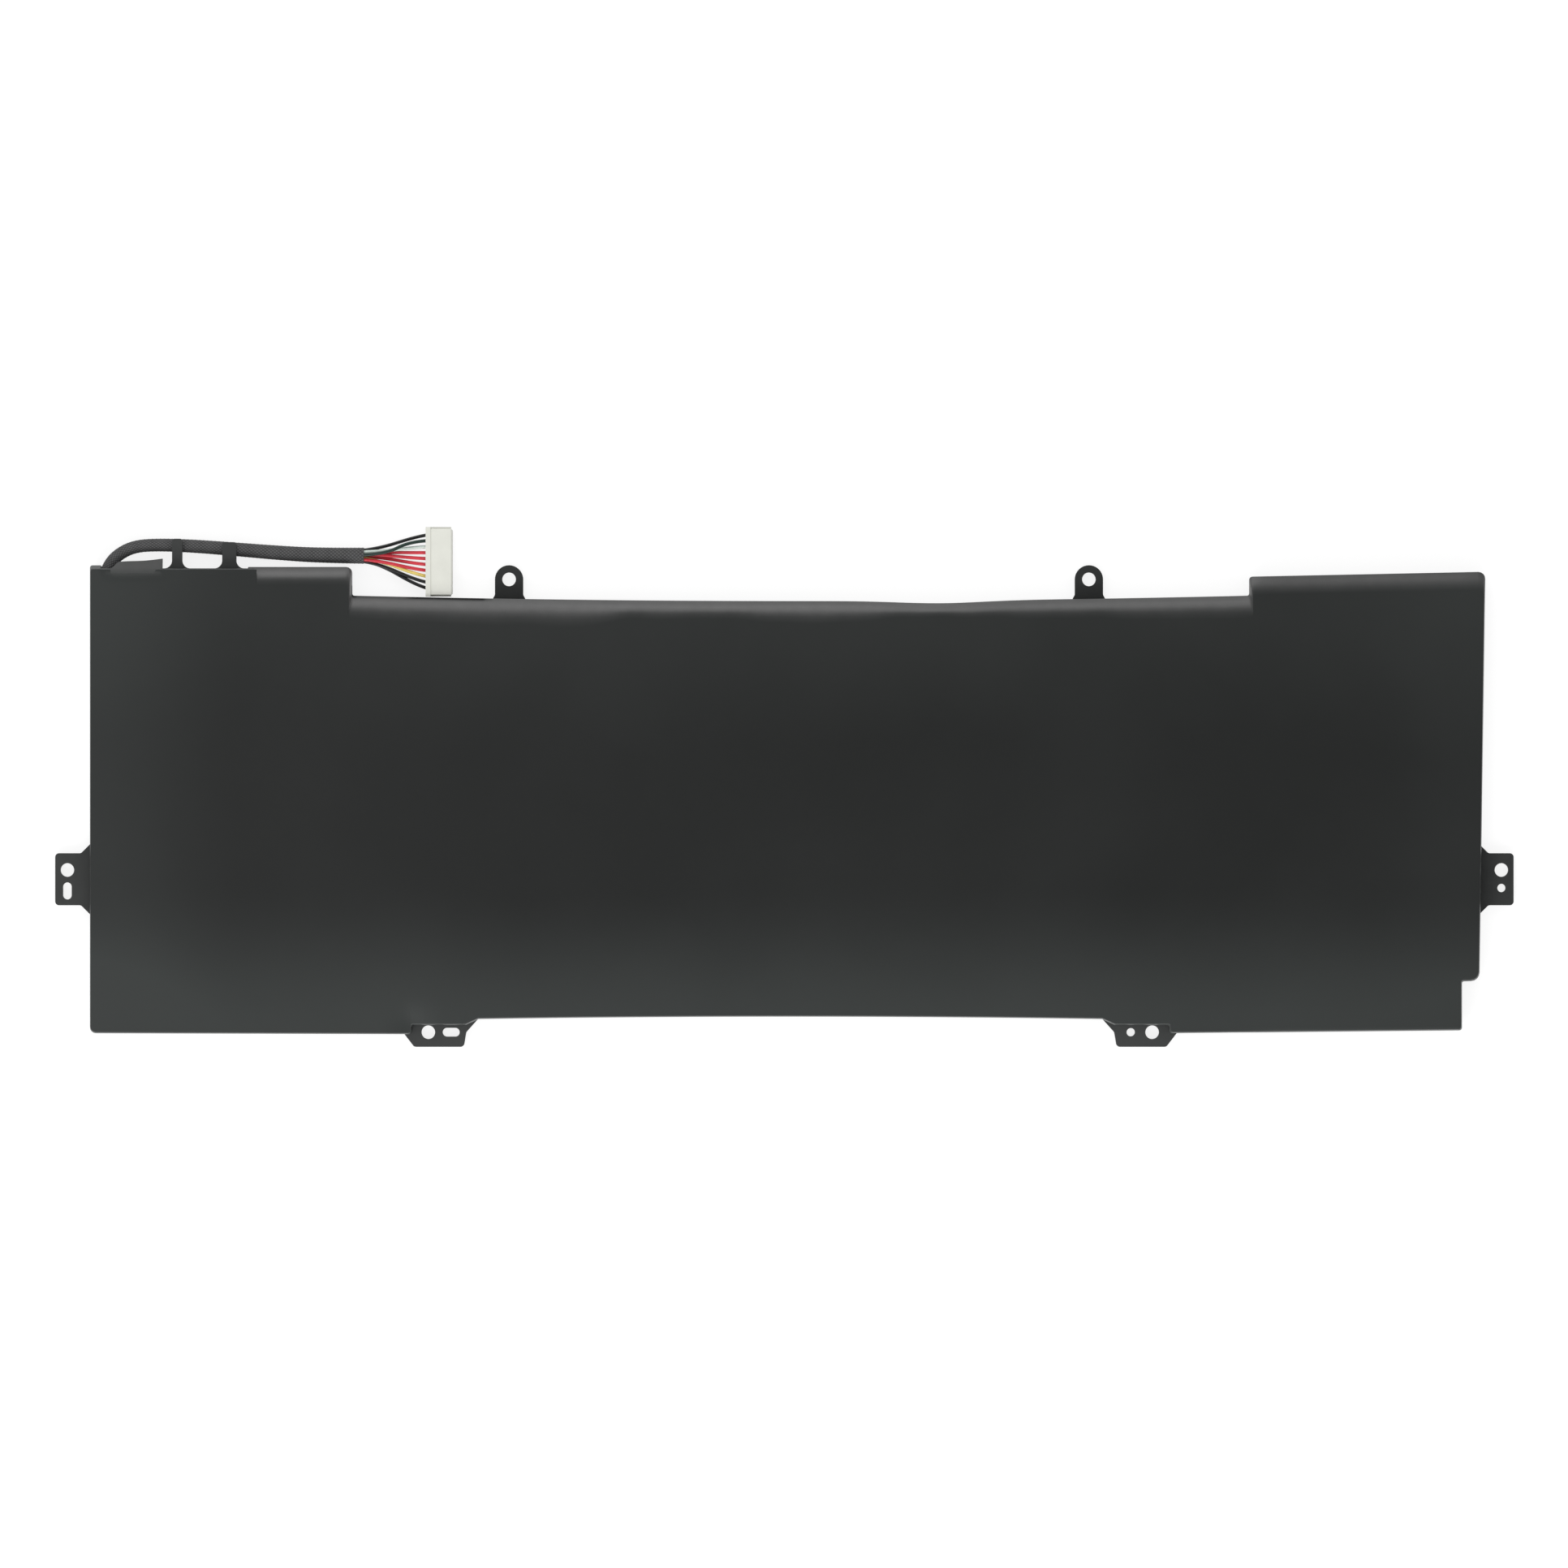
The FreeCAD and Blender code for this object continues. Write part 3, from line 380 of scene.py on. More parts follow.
def frame_finish(settings):
    """Moulded frame: fine grain in the plastic, painted lighter towards its lower edge and both ends, which
    is painted light on lugs and hooks that lie in shade.
    """
    material, tree, shader = new_material("moulded_frame")
    where = put(tree, "ShaderNodeTexCoord").outputs["Object"]
    smears = noise(tree, where, 3 * MM, 3.0)
    # Painted light: lighter towards the lower edge and both ends
    lightening = edge_light_share(tree, where, smears, FRAME_EDGE_LIGHT)
    tree.links.new(ramp(tree, lightening, settings.plastic, settings.edge_lit, 0.0, 1.0), shader.inputs["Base Color"])
    tree.links.new(spread(tree, smears, 0.43, 0.57), shader.inputs["Roughness"])
    bump(tree, shader, noise(tree, where, 0.22 * MM), 0.012 * MM)
    return material


def film_finish(settings):
    """Matt film: fine grain, broad smears in its gloss, painted light towards its edges, a painted highlight
    along its wide shoulders and a painted shadow line along the upper waist's edge.
    """
    material, tree, shader = new_material("matt_film")
    where = put(tree, "ShaderNodeTexCoord").outputs["Object"]
    grain = noise(tree, where, 0.35 * MM)
    smears = noise(tree, where, 40 * MM, 4.0)
    # Painted light: the film is painted lighter towards its lower, upper, left and right edges
    lightening = edge_light_share(tree, where, smears, FILM_EDGE_LIGHT)
    edge_lightened = ramp(tree, lightening, settings.tint, settings.edge_lit, 0.0, 1.0)
    # Painted highlight along the wide shoulders, broken up by noise
    highlight_breakup = spread(tree, noise(tree, where, 2.5 * MM, 4.0), 0.7, 1.3)
    mark = painted_light_share(tree)
    wear = combine(tree, "MULTIPLY", mark, highlight_breakup, clamp=True)
    # Painted shadow line along the upper waist's edge, also made rough so that it shows no gloss
    painted_shadow = combine(tree, "MULTIPLY", mark, -1.0, clamp=True)
    painted_highlight = mix(tree, wear, edge_lightened, settings.painted_highlight)
    tree.links.new(mix(tree, painted_shadow, painted_highlight, settings.shadow_tint), shader.inputs["Base Color"])
    drift = 0.05
    face = spread(tree, smears, settings.gloss - drift, settings.gloss + drift)
    tree.links.new(combine(tree, "MAXIMUM", face, painted_shadow), shader.inputs["Roughness"])
    shader.inputs["Specular IOR Level"].default_value = 0.8
    slack = noise(tree, where, 9 * MM, 1.0)
    first = bump(tree, shader, slack, 0.04 * MM)
    bump(tree, shader, grain, 0.006 * MM, first)
    return material


def weave_finish(settings):
    """Woven sleeve: strands painted paler on their crests, which is a painted glint, and darker between,
    which is painted shade, with fibres and specks.
    """
    material, tree, shader = new_material("woven_sleeve")
    where = put(tree, "ShaderNodeTexCoord").outputs["Object"]
    specks = spread(tree, noise(tree, where, 0.25 * MM, 4.0), 0.55, 1.45)
    crest = combine(tree, "MULTIPLY", painted_light_share(tree), specks)
    # Painted shade between the strands, and painted glints on the crests where the specks fall
    shaded_between = [channel * 0.45 for channel in settings.sleeve_tint]
    painted_highlight = [channel * 2.1 for channel in settings.sleeve_tint]
    tree.links.new(ramp(tree, crest, shaded_between, painted_highlight, 0.1, 1.0), shader.inputs["Base Color"])
    tree.links.new(spread(tree, specks, 0.62, 0.8), shader.inputs["Roughness"])
    shader.inputs["Sheen Weight"].default_value = 0.12
    bump(tree, shader, noise(tree, where, 0.12 * MM), 0.02 * MM)
    return material


def insulation_finish(name, tint):
    """Wire insulation: smooth and glossy, with faint drawing marks."""
    return grained("insulation_" + name, tint, 0.34, 0.25, 0.004, 0.1)


def film_corners():
    """Corners of the film's edge, anticlockwise from the lower left, in millimetres.

    Each row has x, y, radius, how far the corner rises as the film goes up its shoulder, whether its step
    fades out there, and the x on the face's middle line that its column of the mesh runs to.
    """
    low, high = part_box("lower_film")
    # The film's edge lies beyond the wall, and sags a little along the lower edge and towards the left lug
    fit, sag, lug_sag = 0.3, 0.15, 0.2
    x0, y0 = low.x / MM - fit, low.y / MM - fit - sag
    x1, y1 = high.x / MM + fit, high.y / MM + fit
    # Radii of the pack's corners, of its steps and of cut film
    corner, step, snip = 1.2, 0.5, 0.15
    # The lower lugs' middles and half width, the windows over them and the ramps up to the lower waist
    left_lug, right_lug, half_lug, window, ramp_run = -71.0, 73.4, 5.6, 1.7, 2.6
    left_of_lug, right_of_lug = left_lug - half_lug, left_lug + half_lug
    left_of_right, right_of_right = right_lug - half_lug, right_lug + half_lug
    waist_low, waist_top, right_top = y0 + 2.9, 40.5, 44.4
    step_left, step_right = x0 + 53.8, 95.5
    # The cut corner, and how the edges beside it and the right block's corner lean
    cut_x, cut_y, cut_rise, cut_tilt, slant = 139.1, -38.7, 0.6, 0.1, 0.7
    lean, right_rise = 0.5, 1.0
    # The notches for the hooks and for the lead's exit, with the flap between them and the tab beyond
    hooks_end, hooks_start, flap_start, tab_end = -110.15, -128.15, -136.55, -140.35
    room, trim, tab_rise = 0.7, 0.9, 0.35
    rows = [
        (x0, y0, corner, 0, 0, x0 + 30),
        (left_of_lug, y0 - lug_sag, step, 0, 0, left_of_lug - 4),
        (left_of_lug, y0 + window, step, 0, 0, left_of_lug),
        (right_of_lug, y0 + window, step, 0, 0, right_of_lug),
        (right_of_lug + ramp_run, waist_low, step, 0, 0, right_of_lug + ramp_run),
        (left_of_right - ramp_run, waist_low, step, 0, 0, left_of_right - ramp_run),
        (left_of_right, y0 + window, step, 0, 0, left_of_right),
        (right_of_right, y0 + window, step, 0, 0, right_of_right),
        (right_of_right, y0, step, 0, 0, right_of_right + 4),
        (cut_x, y0 + cut_rise, 0.6, 0, 0, x1 - 34),
        (cut_x, cut_y, 0.4, 0, 0, x1 - 27),
        (x1 - slant, cut_y + cut_tilt, 1.8, 0, 0, x1 - 22),
        (x1 + lean, right_top + right_rise, 1.4, 0, 0, x1 - 30),
        (step_right, right_top, 0.6, 0, 0, step_right + 6),
        (step_right, waist_top, step, 0, 0, step_right - 4),
        (step_left, waist_top, step, 0, 0, step_left + 4),
        (step_left, y1, corner, 0, 0, step_left - 6),
        (hooks_end, y1, snip, 0, 1, hooks_end - 0.4),
        (hooks_end, y1 - room, snip, room, 1, hooks_end - 1.6),
        (hooks_start, y1 - room, snip, room, 1, hooks_end - 5),
        (hooks_start, y1, snip, 0, 1, hooks_end - 5.4),
        (flap_start, y1, snip, 0, 1, hooks_end - 8),
        (flap_start, y1 - trim, snip, trim, 1, hooks_end - 8.4),
        (tab_end, y1 - trim, snip, trim, 1, hooks_end - 10),
        (tab_end, y1 + tab_rise, snip, -tab_rise, 1, hooks_end - 10.4),
        (x0, y1 + tab_rise, 0.5, -tab_rise, 0, hooks_end - 11),
    ]
    return np.array(rows)


def shoulder_widths(corners, settings):
    """Width of the sloping film along each edge, in millimetres, by the way that the edge faces."""
    mostly = 0.7
    along = unit(np.roll(corners[:, :2], -1, 0) - corners[:, :2])
    upper = np.where(along[:, 0] < -mostly, settings.shoulder_top, settings.shoulder_side)
    widths = np.where(along[:, 0] > mostly, settings.shoulder_bottom, upper)
    widths[WAIST_TOP_EDGE] = settings.shoulder_waist
    widths[RIGHT_TOP_EDGE] = settings.shoulder_right
    widths[[STEP_LEFT_EDGE, STEP_RIGHT_EDGE]] = settings.shoulder_step
    widths[LEAD_EDGES] = settings.shoulder_lead
    fading = (corners[:, 4] > 0) & (np.abs(along[:, 1]) > mostly)
    widths[fading] = 0.0
    widths[HOOKS_END_EDGE] = settings.shoulder_top / 2
    return widths / MM


def film_ring(corners, moves, counts, across):
    """A closed ring of points at a share of the way across the shoulder.

    Each edge of the outline moves inwards by its own move, the moved edges meet in new corners, and a
    circular arc rounds each corner: its points turn evenly from one tangent point to the other about the
    arc's centre.
    """
    fade = FADE_MOST * smooth(across * FADE_SPEED)
    points = corners[:, :2].copy()
    points[:, 1] += fade * corners[:, 3]
    radius = corners[:, 2] * (1.0 - fade * corners[:, 4])
    along = unit(np.roll(points, -1, 0) - points)
    inward = np.stack([-along[:, 1], along[:, 0]], -1)
    before = np.roll(inward, 1, 0)
    sides = np.stack([before, inward], 1)
    reach = [(before * points).sum(1) + np.roll(moves, 1), (inward * points).sum(1) + moves]
    points = np.linalg.solve(sides, np.stack(reach, 1)[..., None])[..., 0]
    back = unit(np.roll(points, 1, 0) - points)
    ahead = unit(np.roll(points, -1, 0) - points)
    half = np.arccos(np.clip((back * ahead).sum(1), -1, 1)) / 2
    cut = (radius / np.tan(half))[:, None]
    centre = points + unit(back + ahead) * (radius / np.sin(half))[:, None]
    start = points + back * cut
    end = points + ahead * cut
    turn = (math.pi - 2 * half)[:, None, None]
    t = np.linspace(0, 1, ARC_POINTS)[None, :, None]
    first_arm, last_arm = (start - centre)[:, None], (end - centre)[:, None]
    arcs = np.sin((1 - t) * turn) * first_arm + np.sin(t * turn) * last_arm
    arcs = centre[:, None] + arcs / np.sin(turn)
    following = np.roll(start, -1, 0)
    pieces = []
    for i, count in enumerate(counts):
        t = (np.arange(count) + 1)[:, None] / (count + 1)
        pieces += [arcs[i], end[i] * (1 - t) + following[i] * t]
    ring = np.concatenate(pieces)
    first = np.cumsum(counts + ARC_POINTS) - counts
    for edge, bow in ((WAIST_LOW_EDGE, waist_low_bow), (WAIST_TOP_EDGE, waist_top_bow)):
        span = slice(first[edge], first[edge] + counts[edge])
        ends = end[edge, 0], following[edge, 0]
        place = (2 * ring[span, 0] - sum(ends)) / (ends[1] - ends[0])
        ring[span, 1] += bow(ring[span, 0], place, across)
    return ring


def bell(x, middle, width):
    """One at the middle, falling off on both sides: e to the power of minus the square of the distance."""
    return np.exp(-(((x - middle) / width) ** 2))


def waist_low_bow(_x, place, _across):
    """Rise of the lower waist's edge: a parabola that is highest in its middle."""
    return LOW_RISE * (1 - place**2)


def waist_top_bow(x, place, across):
    """Fall of the upper waist's edge: a parabola and a dip right of its middle.

    The border on the face waves too, by a sum of smooth steps, bells and sine ripples, but not at its ends.
    """
    edge = -TOP_FALL * (1 - place**2) - TOP_DIP * bell(x, *TOP_DIP_PLACE)
    border = BORDER_LEVEL
    for height, start, run in BORDER_STEPS:
        border = border + height * smooth((x - start) / run)
    for height, middle, width in BORDER_BELLS:
        border = border + height * bell(x, middle, width)
    for height, pace, phase in BORDER_RIPPLES:
        border = border + height * np.sin(x / pace + phase)
    return edge + across * border * (1 - place**8)


def film_relief(x, y, settings):
    """Height of the film's face over its flat level, in millimetres.

    Slow waves of slack, which only sink, less a bell-shaped dent above the lower left lug and a slump
    towards the flap, which grows with the square of the way out and then steadily.
    """
    waves = np.sin(x / 11 + 0.6) * np.sin(y / 9 + 1.2) + 0.7 * np.sin(x / 23 - y / 17) - 1.7
    dent = DENT_DEPTH * bell(np.hypot(x - DENT_X, y - DENT_Y), 0, DENT_WIDTH)
    over = np.maximum(y - SLUMP_Y, 0.0)
    near = smooth((x - SLUMP_LEFT) / 2) * smooth((SLUMP_RIGHT - x) / 2.5)
    slump = SLUMP_SLOPE * over**2 / (over + SLUMP_EASE) * near
    return settings.slack / MM * waves / 2 - dent - slump


def film_columns(corners, counts):
    """Where the film's columns start on its ring, the spine's x, and each column's place on the spine.

    The spine is the face's middle line. A corner's column runs to the x in the corner's row, the others are
    spread evenly between those, and both halves of the ring share the spine's points.
    """
    past_left, past_right = 12.0, 5.0
    blocks = counts + ARC_POINTS
    total = blocks.sum()
    first = np.cumsum(blocks) - blocks
    at_corner = first + (ARC_POINTS - 1) / 2
    base = film_ring(corners, np.zeros(len(corners)), counts, 0.0)
    left = np.arange(first[-1] + ARC_POINTS, total)
    at_left = np.interp(-SPINE_Y, -base[left, 1], left)
    right = np.arange(first[RIGHT_EDGE] + ARC_POINTS, first[RIGHT_EDGE + 1])
    at_right = np.interp(SPINE_Y, base[right, 1], right)
    split = RIGHT_EDGE + 1
    to_x = corners[:, 5]
    x_first, x_last = to_x[0] - past_left, to_x[RIGHT_EDGE] + past_right
    low_at = np.concatenate([[at_left - total], at_corner[:split], [at_right]])
    low_x = np.concatenate([[x_first], to_x[:split], [x_last]])
    top_at = np.concatenate([[at_right], at_corner[split:], [at_left]])
    top_x = np.concatenate([[x_last], to_x[split:], [x_first]])
    whole = np.arange(-int(total - at_left), int(at_left) + 1)
    low_whole = whole[(whole > low_at[0]) & (whole < low_at[-1])]
    top_whole = whole[(whole > top_at[0]) & (whole < top_at[-1])]
    low_spine = np.interp(low_whole, low_at, low_x)
    top_spine = np.interp(top_whole, top_at, top_x)
    spine = np.unique(np.concatenate([[x_first, x_last], low_spine, top_spine]))
    spine = spine[np.concatenate([[True], np.diff(spine) > SPINE_GAP])]
    low_half = np.interp(spine, low_x, low_at)
    top_half = np.interp(spine, top_x[::-1], top_at[::-1])
    order = np.arange(len(spine))
    at = np.concatenate([low_half, top_half[::-1][1:-1]])
    return at, spine, np.concatenate([order, order[::-1][1:-1]])


def shoulder_painted_light(edge, border, across):
    """Painted light and shade of the film at shares of the way across its shoulder, a row each, for every
    column.

    Wide shoulders get a painted highlight by a table of shares and levels, less on the right. A thin painted
    shadow line along the left of the upper waist's edge takes the value below nought.
    """
    narrow, width_run = 1.0, 1.5
    less, less_start, less_run = 0.2, 20.0, 30.0
    line_width, line_fade = 0.05, 0.1
    x, y = edge.T
    wide = smooth((np.linalg.norm(border - edge, axis=1) - narrow) / width_run)
    # Painted highlight along wide shoulders, weaker on the right
    highlighted = wide * (1 - less * smooth((x - less_start) / less_run))
    # Painted shadow line along the left of the upper waist's edge
    painted_shadow = wide * np.interp(x, SHADOW_LINE_PLACES, SHADOW_LINE_LEVELS) * (y < SHADOW_LINE_TOP)
    line = painted_shadow * (1 - smooth((across[:, None] - line_width) / line_fade))
    return highlighted * np.interp(across, HIGHLIGHT_PLACES, HIGHLIGHT_LEVELS)[:, None] * (1 - line) - line


def film_surface(settings):
    """Points, faces and painted light and shade of the upper film.

    Rings run round the pack: a lip inside the skirt, the skirt, and the shoulder, where the height left to
    go is a power of the set-in left to go, a lower one on the right block. Straight columns then run from
    the last ring to the spine.
    """
    blend = 6.0
    corners = film_corners()
    widths = shoulder_widths(corners, settings)
    spans = np.linalg.norm(np.roll(corners[:, :2], -1, 0) - corners[:, :2], axis=1)
    counts = np.maximum(np.round(spans / (settings.spacing / MM)).astype(int) - 1, 1)
    at, spine, to_spine = film_columns(corners, counts)
    before = np.floor(at).astype(int)
    part = (at - before)[:, None]

    def placed(across, set_in=0.0):
        """The ring at a share of the shoulder, set in by an even amount more, at the columns' places."""
        ring = film_ring(corners, widths * across + set_in, counts, across)
        return ring[before % len(ring)] * (1 - part) + ring[(before + 1) % len(ring)] * part

    def raised(flat, z):
        """Points in plan with a height each."""
        return np.column_stack([flat, np.broadcast_to(z, len(flat))])

    def on_face(flat):
        """Points in plan, raised to the film's face."""
        return raised(flat, z_top + film_relief(flat[:, 0], flat[:, 1], settings))

    low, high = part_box("upper_film")
    z_skirt, z_top = low.z / MM, high.z / MM
    edge = placed(0.0)
    border = placed(1.0)
    lip = placed(0.0, settings.thickness / MM)
    on_right = smooth((edge[:, 0] - corners[STEP_RIGHT_EDGE, 0]) / blend + 0.5)
    z_edge = z_top - (settings.shoulder_drop * (1 - on_right) + settings.right_drop * on_right) / MM
    power = SHOULDER_POWER * (1 - on_right) + RIGHT_POWER * on_right
    z_border = on_face(border)[:, 2]
    points = [raised(lip, z_skirt + LIP_HEIGHT), raised(lip, z_skirt), raised(edge, z_skirt)]
    points += [raised(edge, z_skirt + (z_edge - z_skirt) * way) for way in SKIRT_ROWS]
    across = (1 - np.cos(np.linspace(0, math.pi, SHOULDER_ROWS + 1)[1:])) / 2
    wear = shoulder_painted_light(edge, border, np.concatenate([np.zeros(len(points)), across])).ravel()
    for way in across:
        rise = 1 - (1 - way) ** power
        points.append(raised(placed(way), z_edge + (z_border - z_edge) * rise))
    spine_line = raised(spine[:, None], SPINE_Y)
    for way in np.linspace(0, 1, FACE_ROWS + 2)[1:-1] ** FACE_CROWDING:
        points.append(on_face(border * (1 - way) + spine_line[to_spine] * way))
    columns = len(at)
    faces = grid_faces(len(points), columns, True)
    start = len(points) * columns
    last = start - columns
    here = np.arange(columns)
    ahead = (here + 1) % columns
    closing = np.stack([last + here, last + ahead, start + to_spine[ahead], start + to_spine[here]], -1)
    points = np.concatenate([*points, on_face(spine_line)]) * MM
    wear = np.concatenate([wear, np.zeros(len(points) - len(wear))])
    return points, np.concatenate([faces, closing]).tolist(), wear


def flap_surface():
    """Points, faces and painted light of the loose flap, a thin slab beside the lead's exit.

    Columns run along the edge and rows out from the root. The tip's line goes out in a smooth step and then
    steadily with a sine ripple. The flap falls evenly on its way out and curls up as the square of the way.
    Its painted light is a smooth step up from its root, which paints the flap lighter towards its tip.
    """
    left, right, columns, rows = -138.3, -127.6, 48, 10
    root, tip_start, tip_step, step_rate = 45.0, 46.1, 1.15, 6.0
    tip_slope, ripple, ripple_rate = 0.8, 0.08, 7.0
    z_root, fall, curl, thickness = 5.92, 0.33, 0.06, 0.15
    # How much painted light the flap gets, and over what run from its root it grows
    most_flap_light, flap_light_run = 0.5, 1.4
    x = np.linspace(left, right, columns)
    way = np.linspace(0, 1, rows)[:, None]
    along = (x - left) / (right - left)
    tip = tip_start + tip_step * smooth(along * step_rate) + tip_slope * along
    tip = tip + ripple * np.sin(along * ripple_rate)
    y = root + way * (tip - root)
    z = z_root - fall * (y - root) + curl * way**2 * along
    top = np.stack(np.broadcast_arrays(x, y, z), -1)
    under = top - np.array([0, 0, thickness])
    points = np.concatenate([top, under[::-1]]).reshape(-1, 3)
    last = (2 * rows - 1) * columns
    here = np.arange(columns - 1)
    closing = np.stack([here + 1, here, last + here, last + here + 1], -1)
    ends = np.arange(2 * rows) * columns
    faces = np.concatenate([grid_faces(2 * rows, columns, False), closing]).tolist()
    faces += [ends.tolist(), (ends + columns - 1)[::-1].tolist()]
    return points * MM, faces, most_flap_light * smooth((points[:, 1] - root) / flap_light_run)


def spline_line(route):
    """Even points along the NURBS spline of order three whose control points are a route in millimetres."""
    curve = bpy.data.curves.new("route", "CURVE")
    curve.dimensions = "3D"
    curve.resolution_u = 32
    spline = curve.splines.new("NURBS")
    spline.points.add(len(route) - 1)
    spline.points.foreach_set("co", np.column_stack([np.array(route) * MM, np.ones(len(route))]).ravel())
    spline.order_u = 3
    spline.use_endpoint_u = True
    holder = bpy.data.objects.new("route", curve)
    mesh = bpy.data.meshes.new_from_object(holder)
    line = np.empty(len(mesh.vertices) * 3)
    mesh.vertices.foreach_get("co", line)
    bpy.data.meshes.remove(mesh)
    bpy.data.objects.remove(holder)
    bpy.data.curves.remove(curve)
    return line.reshape(-1, 3)


def tube_surface(line, stations, radii, segments):
    """A tube round a line: at each station, a distance along it, a circle of that row's radii.

    The circle's axes are the level direction across the line and the direction square to that and the line.
    """
    steps = np.linalg.norm(np.diff(line, axis=0), axis=1)
    measure = np.concatenate([[0], np.cumsum(steps)])
    where = np.stack([np.interp(stations, measure, line[:, i]) for i in range(3)], -1)
    slope = np.gradient(line, measure, axis=0)
    along = unit(np.stack([np.interp(stations, measure, slope[:, i]) for i in range(3)], -1))
    level = unit(np.cross(along, (0.0, 0.0, 1.0)))
    square = np.cross(along, level)
    turn = np.linspace(0, 2 * math.pi, segments, endpoint=False)[None, :, None]
    ring = np.cos(turn) * level[:, None] + np.sin(turn) * square[:, None]
    points = where[:, None] + radii[..., None] * ring
    faces = grid_faces(len(stations), segments, True).tolist()
    last = (len(stations) - 1) * segments
    faces += [list(range(segments))[::-1], list(range(last, last + segments))]
    return points.reshape(-1, 3), faces


def line_length(line):
    """Length of a line through points."""
    return float(np.linalg.norm(np.diff(line, axis=0), axis=1).sum())


def sleeve_surface(line, settings):
    """Points, faces and painted light and shade of the woven sleeve, a tube that widens to its open end,
    with a lip inside it.

    Its radius grows with a power of the way along, plus the weave: a power of the product of two sines that
    run round the tube in opposite hands, without its sign. The weave's crests get the most painted light.
    """
    rows, segments = 480, 98
    lip_back = np.array([-0.03, 0.0, 0.6, 3.0]) * MM
    lip_thin = np.array([0.04, 0.2, 0.24, 0.26]) * MM
    widening, roundness, lip_light = 1.6, 0.6, 0.4
    reach = line_length(line)
    stations = np.linspace(0, reach, rows)
    growth = (settings.sleeve_end - settings.sleeve_start) / 2
    radius = settings.sleeve_start / 2 + growth * (stations / reach) ** widening
    turn = settings.strands / 2 * np.linspace(0, 2 * math.pi, segments, endpoint=False)
    phase = 2 * math.pi * stations[:, None] / settings.weave_pitch
    crest = np.abs(np.sin(turn + phase) * np.sin(turn - phase)) ** roundness
    radii = radius[:, None] + settings.weave_depth * (crest - 0.5)
    lip = np.repeat(settings.sleeve_end / 2 - lip_thin, segments).reshape(-1, segments)
    stations = np.concatenate([stations, reach - lip_back])
    points, faces = tube_surface(line, stations, np.concatenate([radii, lip]), segments)
    return points, faces, np.concatenate([crest.ravel(), np.full(lip.size, lip_light)])


def wire_routes():
    """Routes of the ten wires, from inside the sleeve's end to their contacts, in millimetres.

    Eight start on a ring and two inside it. The second wire starts on top and crosses over its neighbours.
    """
    # The outermost contact's middle from the contacts' end, and the wires' places from the sleeve's middle
    inset, outer, inner = 0.425, 0.95, 0.32
    # How far a wire runs inside the sleeve, straight out of it and straight into its contact
    tail, out_run, in_run = 2.5, 2.0, 2.3
    # How much of its way aside a wire has gone at both ends, and how far and how high the crossing one goes
    out_share, in_share, crossing_run, lift = 0.05, 0.03, 2.2, 0.5
    turns = np.radians([0, 90, 45, -45, 0, -90, 135, 180, 180, -135])
    ring = [outer, outer, outer, outer, inner, outer, outer, inner, outer, outer]
    end = np.array(LEAD_ROUTE[-1])
    low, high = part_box("crimp_contacts")
    finish_x, finish_z = low.x / MM, (low.z + high.z) / 2 / MM
    ways = np.linspace(high.y / MM - inset, low.y / MM + inset, len(WIRE_NAMES))
    routes = []
    for name, way, turn, out in zip(WIRE_NAMES, ways, turns, ring):
        over = float(name == CROSSING_WIRE)
        start = end + out * np.array([0, math.cos(turn), math.sin(turn)])
        finish = np.array([finish_x, way, finish_z])
        aside = way - start[1]
        leave = start + np.array([out_run + crossing_run * over, out_share * aside, lift * over])
        arrive = finish - np.array([in_run + crossing_run * over, in_share * aside, -2 * lift * over])
        routes.append((start - np.array([tail, 0, 0]), leave, arrive, finish))
    return routes


class BATTERY_OT_fan_wires(bpy.types.Operator):
    """Lay the ten wires from the sleeve's end to the connector"""

    bl_idname = "battery.fan_wires"
    bl_label = "Fan Wires"

    def execute(self, context):
        settings = context.scene.battery_lead
        finishes = {}
        radii = np.full((WIRE_ROWS, WIRE_SIDES), settings.wire / 2)
        for name, shade, route in zip(WIRE_NAMES, WIRE_COLOURS, wire_routes()):
            if shade not in finishes:
                finishes[shade] = insulation_finish(shade, getattr(settings, shade))
            line = spline_line(route)
            stations = np.linspace(0, line_length(line), WIRE_ROWS)
            points, faces = tube_surface(line, stations, radii, WIRE_SIDES)
            piece = mesh_piece("fan_" + name, points, faces, finishes[shade], ROUND_PIECE)
            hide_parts(name)
        return {"FINISHED"}


class BATTERY_OT_lead_sleeve(bpy.types.Operator):
    bl_idname = "battery.lead_sleeve"
    bl_label = "Lead Sleeve"

    def execute(self, context):
        settings = context.scene.battery_lead
        line = spline_line(LEAD_ROUTE)
        points, faces, wear = sleeve_surface(line, settings)
        finish = weave_finish(settings)
        sleeve = mesh_piece("woven_sleeve", points, faces, finish, ROUND_PIECE, wear)
        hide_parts("lead_sleeve")
        on_lead = [bpy.data.objects["fan_" + name] for name in WIRE_NAMES]
        on_lead += [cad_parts["connector_housing"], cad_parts["crimp_contacts"]]
        return {"FINISHED"}


class BATTERY_OT_upper_film(bpy.types.Operator):
    """Lay the film over the pack's face, with its loose flap at the lead's exit"""

    bl_idname = "battery.upper_film"
    bl_label = "Upper Film"

    def execute(self, context):
        settings = context.scene.battery_film
        finish = film_finish(settings)
        points, faces, wear = film_surface(settings)
        film = mesh_piece("face_film", points, faces, finish, wear=wear)
        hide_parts("upper_film")
        points, faces, wear = flap_surface()
        mesh_piece("film_flap", points, faces, finish, wear=wear)
        dress("lower_film", finish)
        return {"FINISHED"}


def dress(node, material):
    """Gives a CAD node a finish in each of its material slots."""
    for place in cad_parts[node].material_slots:
        place.material = material


